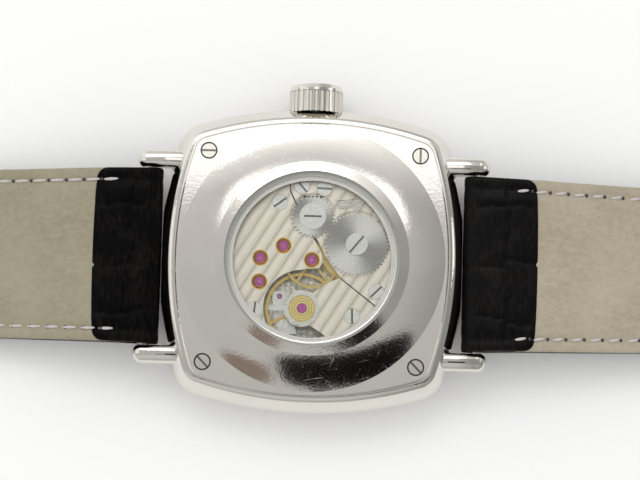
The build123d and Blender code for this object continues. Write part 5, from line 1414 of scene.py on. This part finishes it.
@dataclass
class DialDress:
    """Finishes of the dial side and its printed tracks. Sizes in millimetres."""

    face: float = 3.0
    seconds_face: float = 3.1
    minute_radius: float = 12.95
    seconds_centre: tuple[float, float] = (-6.48905, 0.10485)
    seconds_radius: float = 3.25
    ink: float = 0.012

    def dress(self) -> None:
        """Dress the dial and markers and print the minute and seconds tracks."""
        dress(("dial",), DialFinish("silvered_dial"))
        dress(("hour_markers",), SteelFinish("marker_steel", (0.74, 0.74, 0.73), 0.05))
        ink = MouldedFinish("track_ink", (0.02, 0.02, 0.022), 0.5).make()
        ticks = tick_tree()
        for name, centre, radius, level, length, width, count in (
                ("minute_track", (0.0, 0.0), self.minute_radius, self.face, 0.55, 0.11, 60),
                ("hour_track", (0.0, 0.0), self.minute_radius, self.face, 0.75, 0.26, 12),
                ("seconds_track", self.seconds_centre, self.seconds_radius, self.seconds_face, 0.36, 0.08, 60),
                ("quarter_track", self.seconds_centre, self.seconds_radius, self.seconds_face, 0.60, 0.16, 12)):
            piece = ticks.run(line_object(np.array([(0.0, 0.0, 0.0), (0.1, 0.0, 0.0)])), name, ink, Count=count,
                              Radius=radius * MM, Length=length * MM, Width=width * MM,
                              Thickness=self.ink * MM, Material=ink,
                              Centre=(centre[0] * MM, centre[1] * MM, (level - self.ink / 2) * MM))
            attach(piece, "root")
        LOG.info("dial dressed")


def dress(names: tuple[str, ...], finish: object) -> None:
    """Give the finish's material to the named CAD nodes.

    Args:
        names: node names.
        finish: finish whose make method builds the material.
    """
    material = finish.make()
    for name in names:
        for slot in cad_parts[name].material_slots:
            slot.material = material


@dataclass
class Studio:
    """Camera, lamps, pale floor and the dark front of the camera that the polished back mirrors."""

    aim: tuple[float, float, float] = (0.95, 2.32, 8.4)
    distance: float = 350.0
    tilt: float = 6.5
    roll: float = 1.6
    view_width: float = 80.0
    sensor: float = 36.0

    def camera(self) -> None:
        """Set the camera where the photograph was taken from."""
        lean = math.radians(self.tilt)
        back = Vector((0.0, -math.sin(lean), math.cos(lean)))
        right = Vector((math.cos(math.radians(self.roll)), math.sin(math.radians(self.roll)), 0.0))
        right = (right - back * right.dot(back)).normalized()
        up = back.cross(right)
        data = bpy.data.cameras.new("camera")
        data.sensor_width = self.sensor
        data.lens = self.sensor * self.distance / self.view_width
        data.clip_start = 0.01
        data.clip_end = 20.0
        eye = bpy.data.objects.new("camera", data)
        place = (Vector(self.aim) + back * self.distance) * MM
        eye.matrix_world = Matrix((
            (right.x, up.x, back.x, place.x), (right.y, up.y, back.y, place.y),
            (right.z, up.z, back.z, place.z), (0.0, 0.0, 0.0, 1.0)))
        bpy.context.scene.collection.objects.link(eye)
        bpy.context.scene.camera = eye

    def lamp(self, name: str, place: tuple[float, float, float], size: tuple[float, float], power: float,
             colour: Colour = (1.0, 1.0, 1.0)) -> None:
        """Set a soft lamp that faces the watch.

        Args:
            name: the lamp's name.
            place: its centre in metres.
            size: its width and height in metres.
            power: its power in watts.
            colour: its colour.
        """
        data = bpy.data.lights.new(name, "AREA")
        data.shape = "RECTANGLE"
        data.size, data.size_y = size
        data.energy = power
        data.color = colour
        lamp = bpy.data.objects.new(name, data)
        lamp.location = place
        lamp.rotation_euler = Vector(place).to_track_quat("Z", "Y").to_euler()
        bpy.context.scene.collection.objects.link(lamp)

    def card(self, name: str, centre: tuple[float, float, float], size: tuple[float, float], colour: Colour,
             glow: float) -> None:
        """Set a board with rounded corners that only reflections show.

        Args:
            name: the board's name.
            centre: its centre in metres.
            size: its width and height in metres.
            colour: its colour.
            glow: light that it gives off.
        """
        x, y, z = centre
        ring = []
        for angle in np.linspace(0, 2 * math.pi, 65)[:-1]:
            across, up = math.cos(angle), math.sin(angle)
            ring.append((x + math.copysign(abs(across) ** 0.5, across) * size[0] / 2,
                         y + math.copysign(abs(up) ** 0.5, up) * size[1] / 2, z))
        mesh = bpy.data.meshes.new(name)
        mesh.from_pydata(ring, [], [tuple(reversed(range(len(ring))))])
        shader = Shader(name)
        shader.set(base_color=(0.0, 0.0, 0.0), roughness=1.0, specular_ior_level=0.0,
                   emission_color=colour, emission_strength=glow)
        card = mesh_piece(name, mesh, shader.material)
        card.visible_camera = False
        card.visible_diffuse = False
        card.visible_shadow = False
        card.visible_transmission = False

    def floor(self) -> None:
        """Lay the pale floor just under the watch."""
        mesh = bpy.data.meshes.new("floor")
        mesh.from_pydata([(-3, -3, -0.00002), (3, -3, -0.00002), (3, 3, -0.00002), (-3, 3, -0.00002)], [],
                         [(0, 1, 2, 3)])
        mesh_piece("floor", mesh, FloorFinish("floor").make())

    def world(self) -> None:
        """Set a room that is brighter to the top and left, and white to the camera."""
        world = bpy.data.worlds.new("room")
        world.use_nodes = True
        bpy.context.scene.world = world
        nodes, links = world.node_tree.nodes, world.node_tree.links
        nodes.clear()
        out = nodes.new("ShaderNodeOutputWorld")
        light = nodes.new("ShaderNodeBackground")
        coords = nodes.new("ShaderNodeTexCoord")
        split = nodes.new("ShaderNodeSeparateXYZ")
        links.new(coords.outputs["Generated"], split.inputs[0])
        spread = nodes.new("ShaderNodeValToRGB")
        move = nodes.new("ShaderNodeMath")
        move.operation = "MULTIPLY_ADD"
        links.new(split.outputs["Y"], move.inputs[0])
        move.inputs[1].default_value = 0.5
        move.inputs[2].default_value = 0.5
        links.new(move.outputs[0], spread.inputs[0])
        ramp = spread.color_ramp
        ramp.elements[0].color = (0.45, 0.45, 0.45, 1.0)
        ramp.elements[1].color = (0.55, 0.55, 0.54, 1.0)
        for reach, grey in ((-0.62, 0.62), (-0.40, 0.54), (-0.20, 0.46), (0.06, 0.46), (0.107, 0.50),
                            (0.23, 0.52), (0.30, 0.74), (0.36, 1.0), (0.75, 0.90)):
            stop = ramp.elements.new(0.5 + reach / 2)
            stop.color = (grey, grey, grey * 0.99, 1.0)
        links.new(spread.outputs[0], light.inputs["Color"])
        side = nodes.new("ShaderNodeMapRange")
        side.interpolation_type = "SMOOTHSTEP"
        links.new(split.outputs["X"], side.inputs["Value"])
        side.inputs["From Min"].default_value = 0.02
        side.inputs["From Max"].default_value = 0.36
        side.inputs["To Min"].default_value = 1.12
        side.inputs["To Max"].default_value = 0.68
        links.new(side.outputs[0], light.inputs["Strength"])
        even = nodes.new("ShaderNodeBackground")
        even.inputs["Color"].default_value = (0.90, 0.90, 0.895, 1.0)
        white = nodes.new("ShaderNodeBackground")
        white.inputs["Color"].default_value = (0.93, 0.93, 0.925, 1.0)
        path = nodes.new("ShaderNodeLightPath")
        soft = nodes.new("ShaderNodeMixShader")
        links.new(path.outputs["Is Diffuse Ray"], soft.inputs[0])
        links.new(light.outputs[0], soft.inputs[1])
        links.new(even.outputs[0], soft.inputs[2])
        both = nodes.new("ShaderNodeMixShader")
        links.new(path.outputs["Is Camera Ray"], both.inputs[0])
        links.new(soft.outputs[0], both.inputs[1])
        links.new(white.outputs[0], both.inputs[2])
        links.new(both.outputs[0], out.inputs[0])

    def build(self) -> None:
        """Set up the whole studio."""
        self.camera()
        self.floor()
        self.world()
        self.lamp("key", (-0.10, 0.40, 0.62), (0.60, 0.30), 0.95)
        self.lamp("left", (-0.62, 0.05, 0.40), (0.25, 0.60), 0.22)
        self.lamp("right", (0.70, 0.12, 0.45), (0.12, 0.50), 0.18)
        self.card("dark_lens", (0.036, -0.054, 0.360), (0.124, 0.064), (1.0, 1.0, 1.0), 0.004)
        self.card("warm_hand", (-0.060, -0.067, 0.361), (0.050, 0.036), (1.0, 0.78, 0.66), 0.24)
        self.card("bright_board", (0.0, 0.076, 0.360), (0.130, 0.044), (1.0, 1.0, 1.0), 1.35)
        bpy.context.scene.view_settings.view_transform = "Standard"
        LOG.info("studio set")


def main() -> None:
    """Build the studio, then dress and build each group of pieces."""
    Studio().build()
    CaseDress().dress()
    MovementDress().dress()
    DialDress().dress()
    leather = LeatherFinish("black_hide", shine=0.11).make()
    dull_leather = LeatherFinish("dull_black_hide").make()
    lining = LiningFinish("pale_lining").make()
    smooth_lining = LiningFinish("smooth_lining", (0.335, 0.300, 0.208), (0.256, 0.227, 0.146), 0.35).make()
    rim = MouldedFinish("edge_paint", (0.012, 0.011, 0.012), 0.30).make()
    thread = ThreadFinish("thread").make()
    # Painted shade of the needle holes.
    pricks = MouldedFinish("needle_holes", (0.05, 0.045, 0.04), 0.6).make()
    stitches = stitch_tree()
    short = StrapHalf("short", Side.TWELVE, "strap_short", Hide(7, 3.7, ((-7.5, 0.3, 7.3), (-6.7, -0.5, 7.2))),
                      75.0, 2.1, 7.4, 9.0, 1.6)
    short.build(leather, lining, rim, thread, pricks, stitches)
    long = StrapHalf("long", Side.SIX, "strap_long", Hide(11, 4.9, ((-7.4, -1.4, 6.3), (-7.0, -1.6, 6.1))),
                     115.0, 0.0, 6.6, 1.5, 2.05)
    long.build(dull_leather, smooth_lining, rim, thread, pricks, stitches)
    Keeper("fixed_loop", "fixed_keeper", "strap_short").build(leather, rim)
    Keeper("loose_loop", "loose_keeper", "loose_keeper_group", wall=0.74).build(leather, rim)


if __name__ == "__main__":
    logging.basicConfig(level=logging.INFO, format="%(name)s: %(message)s")
    main()
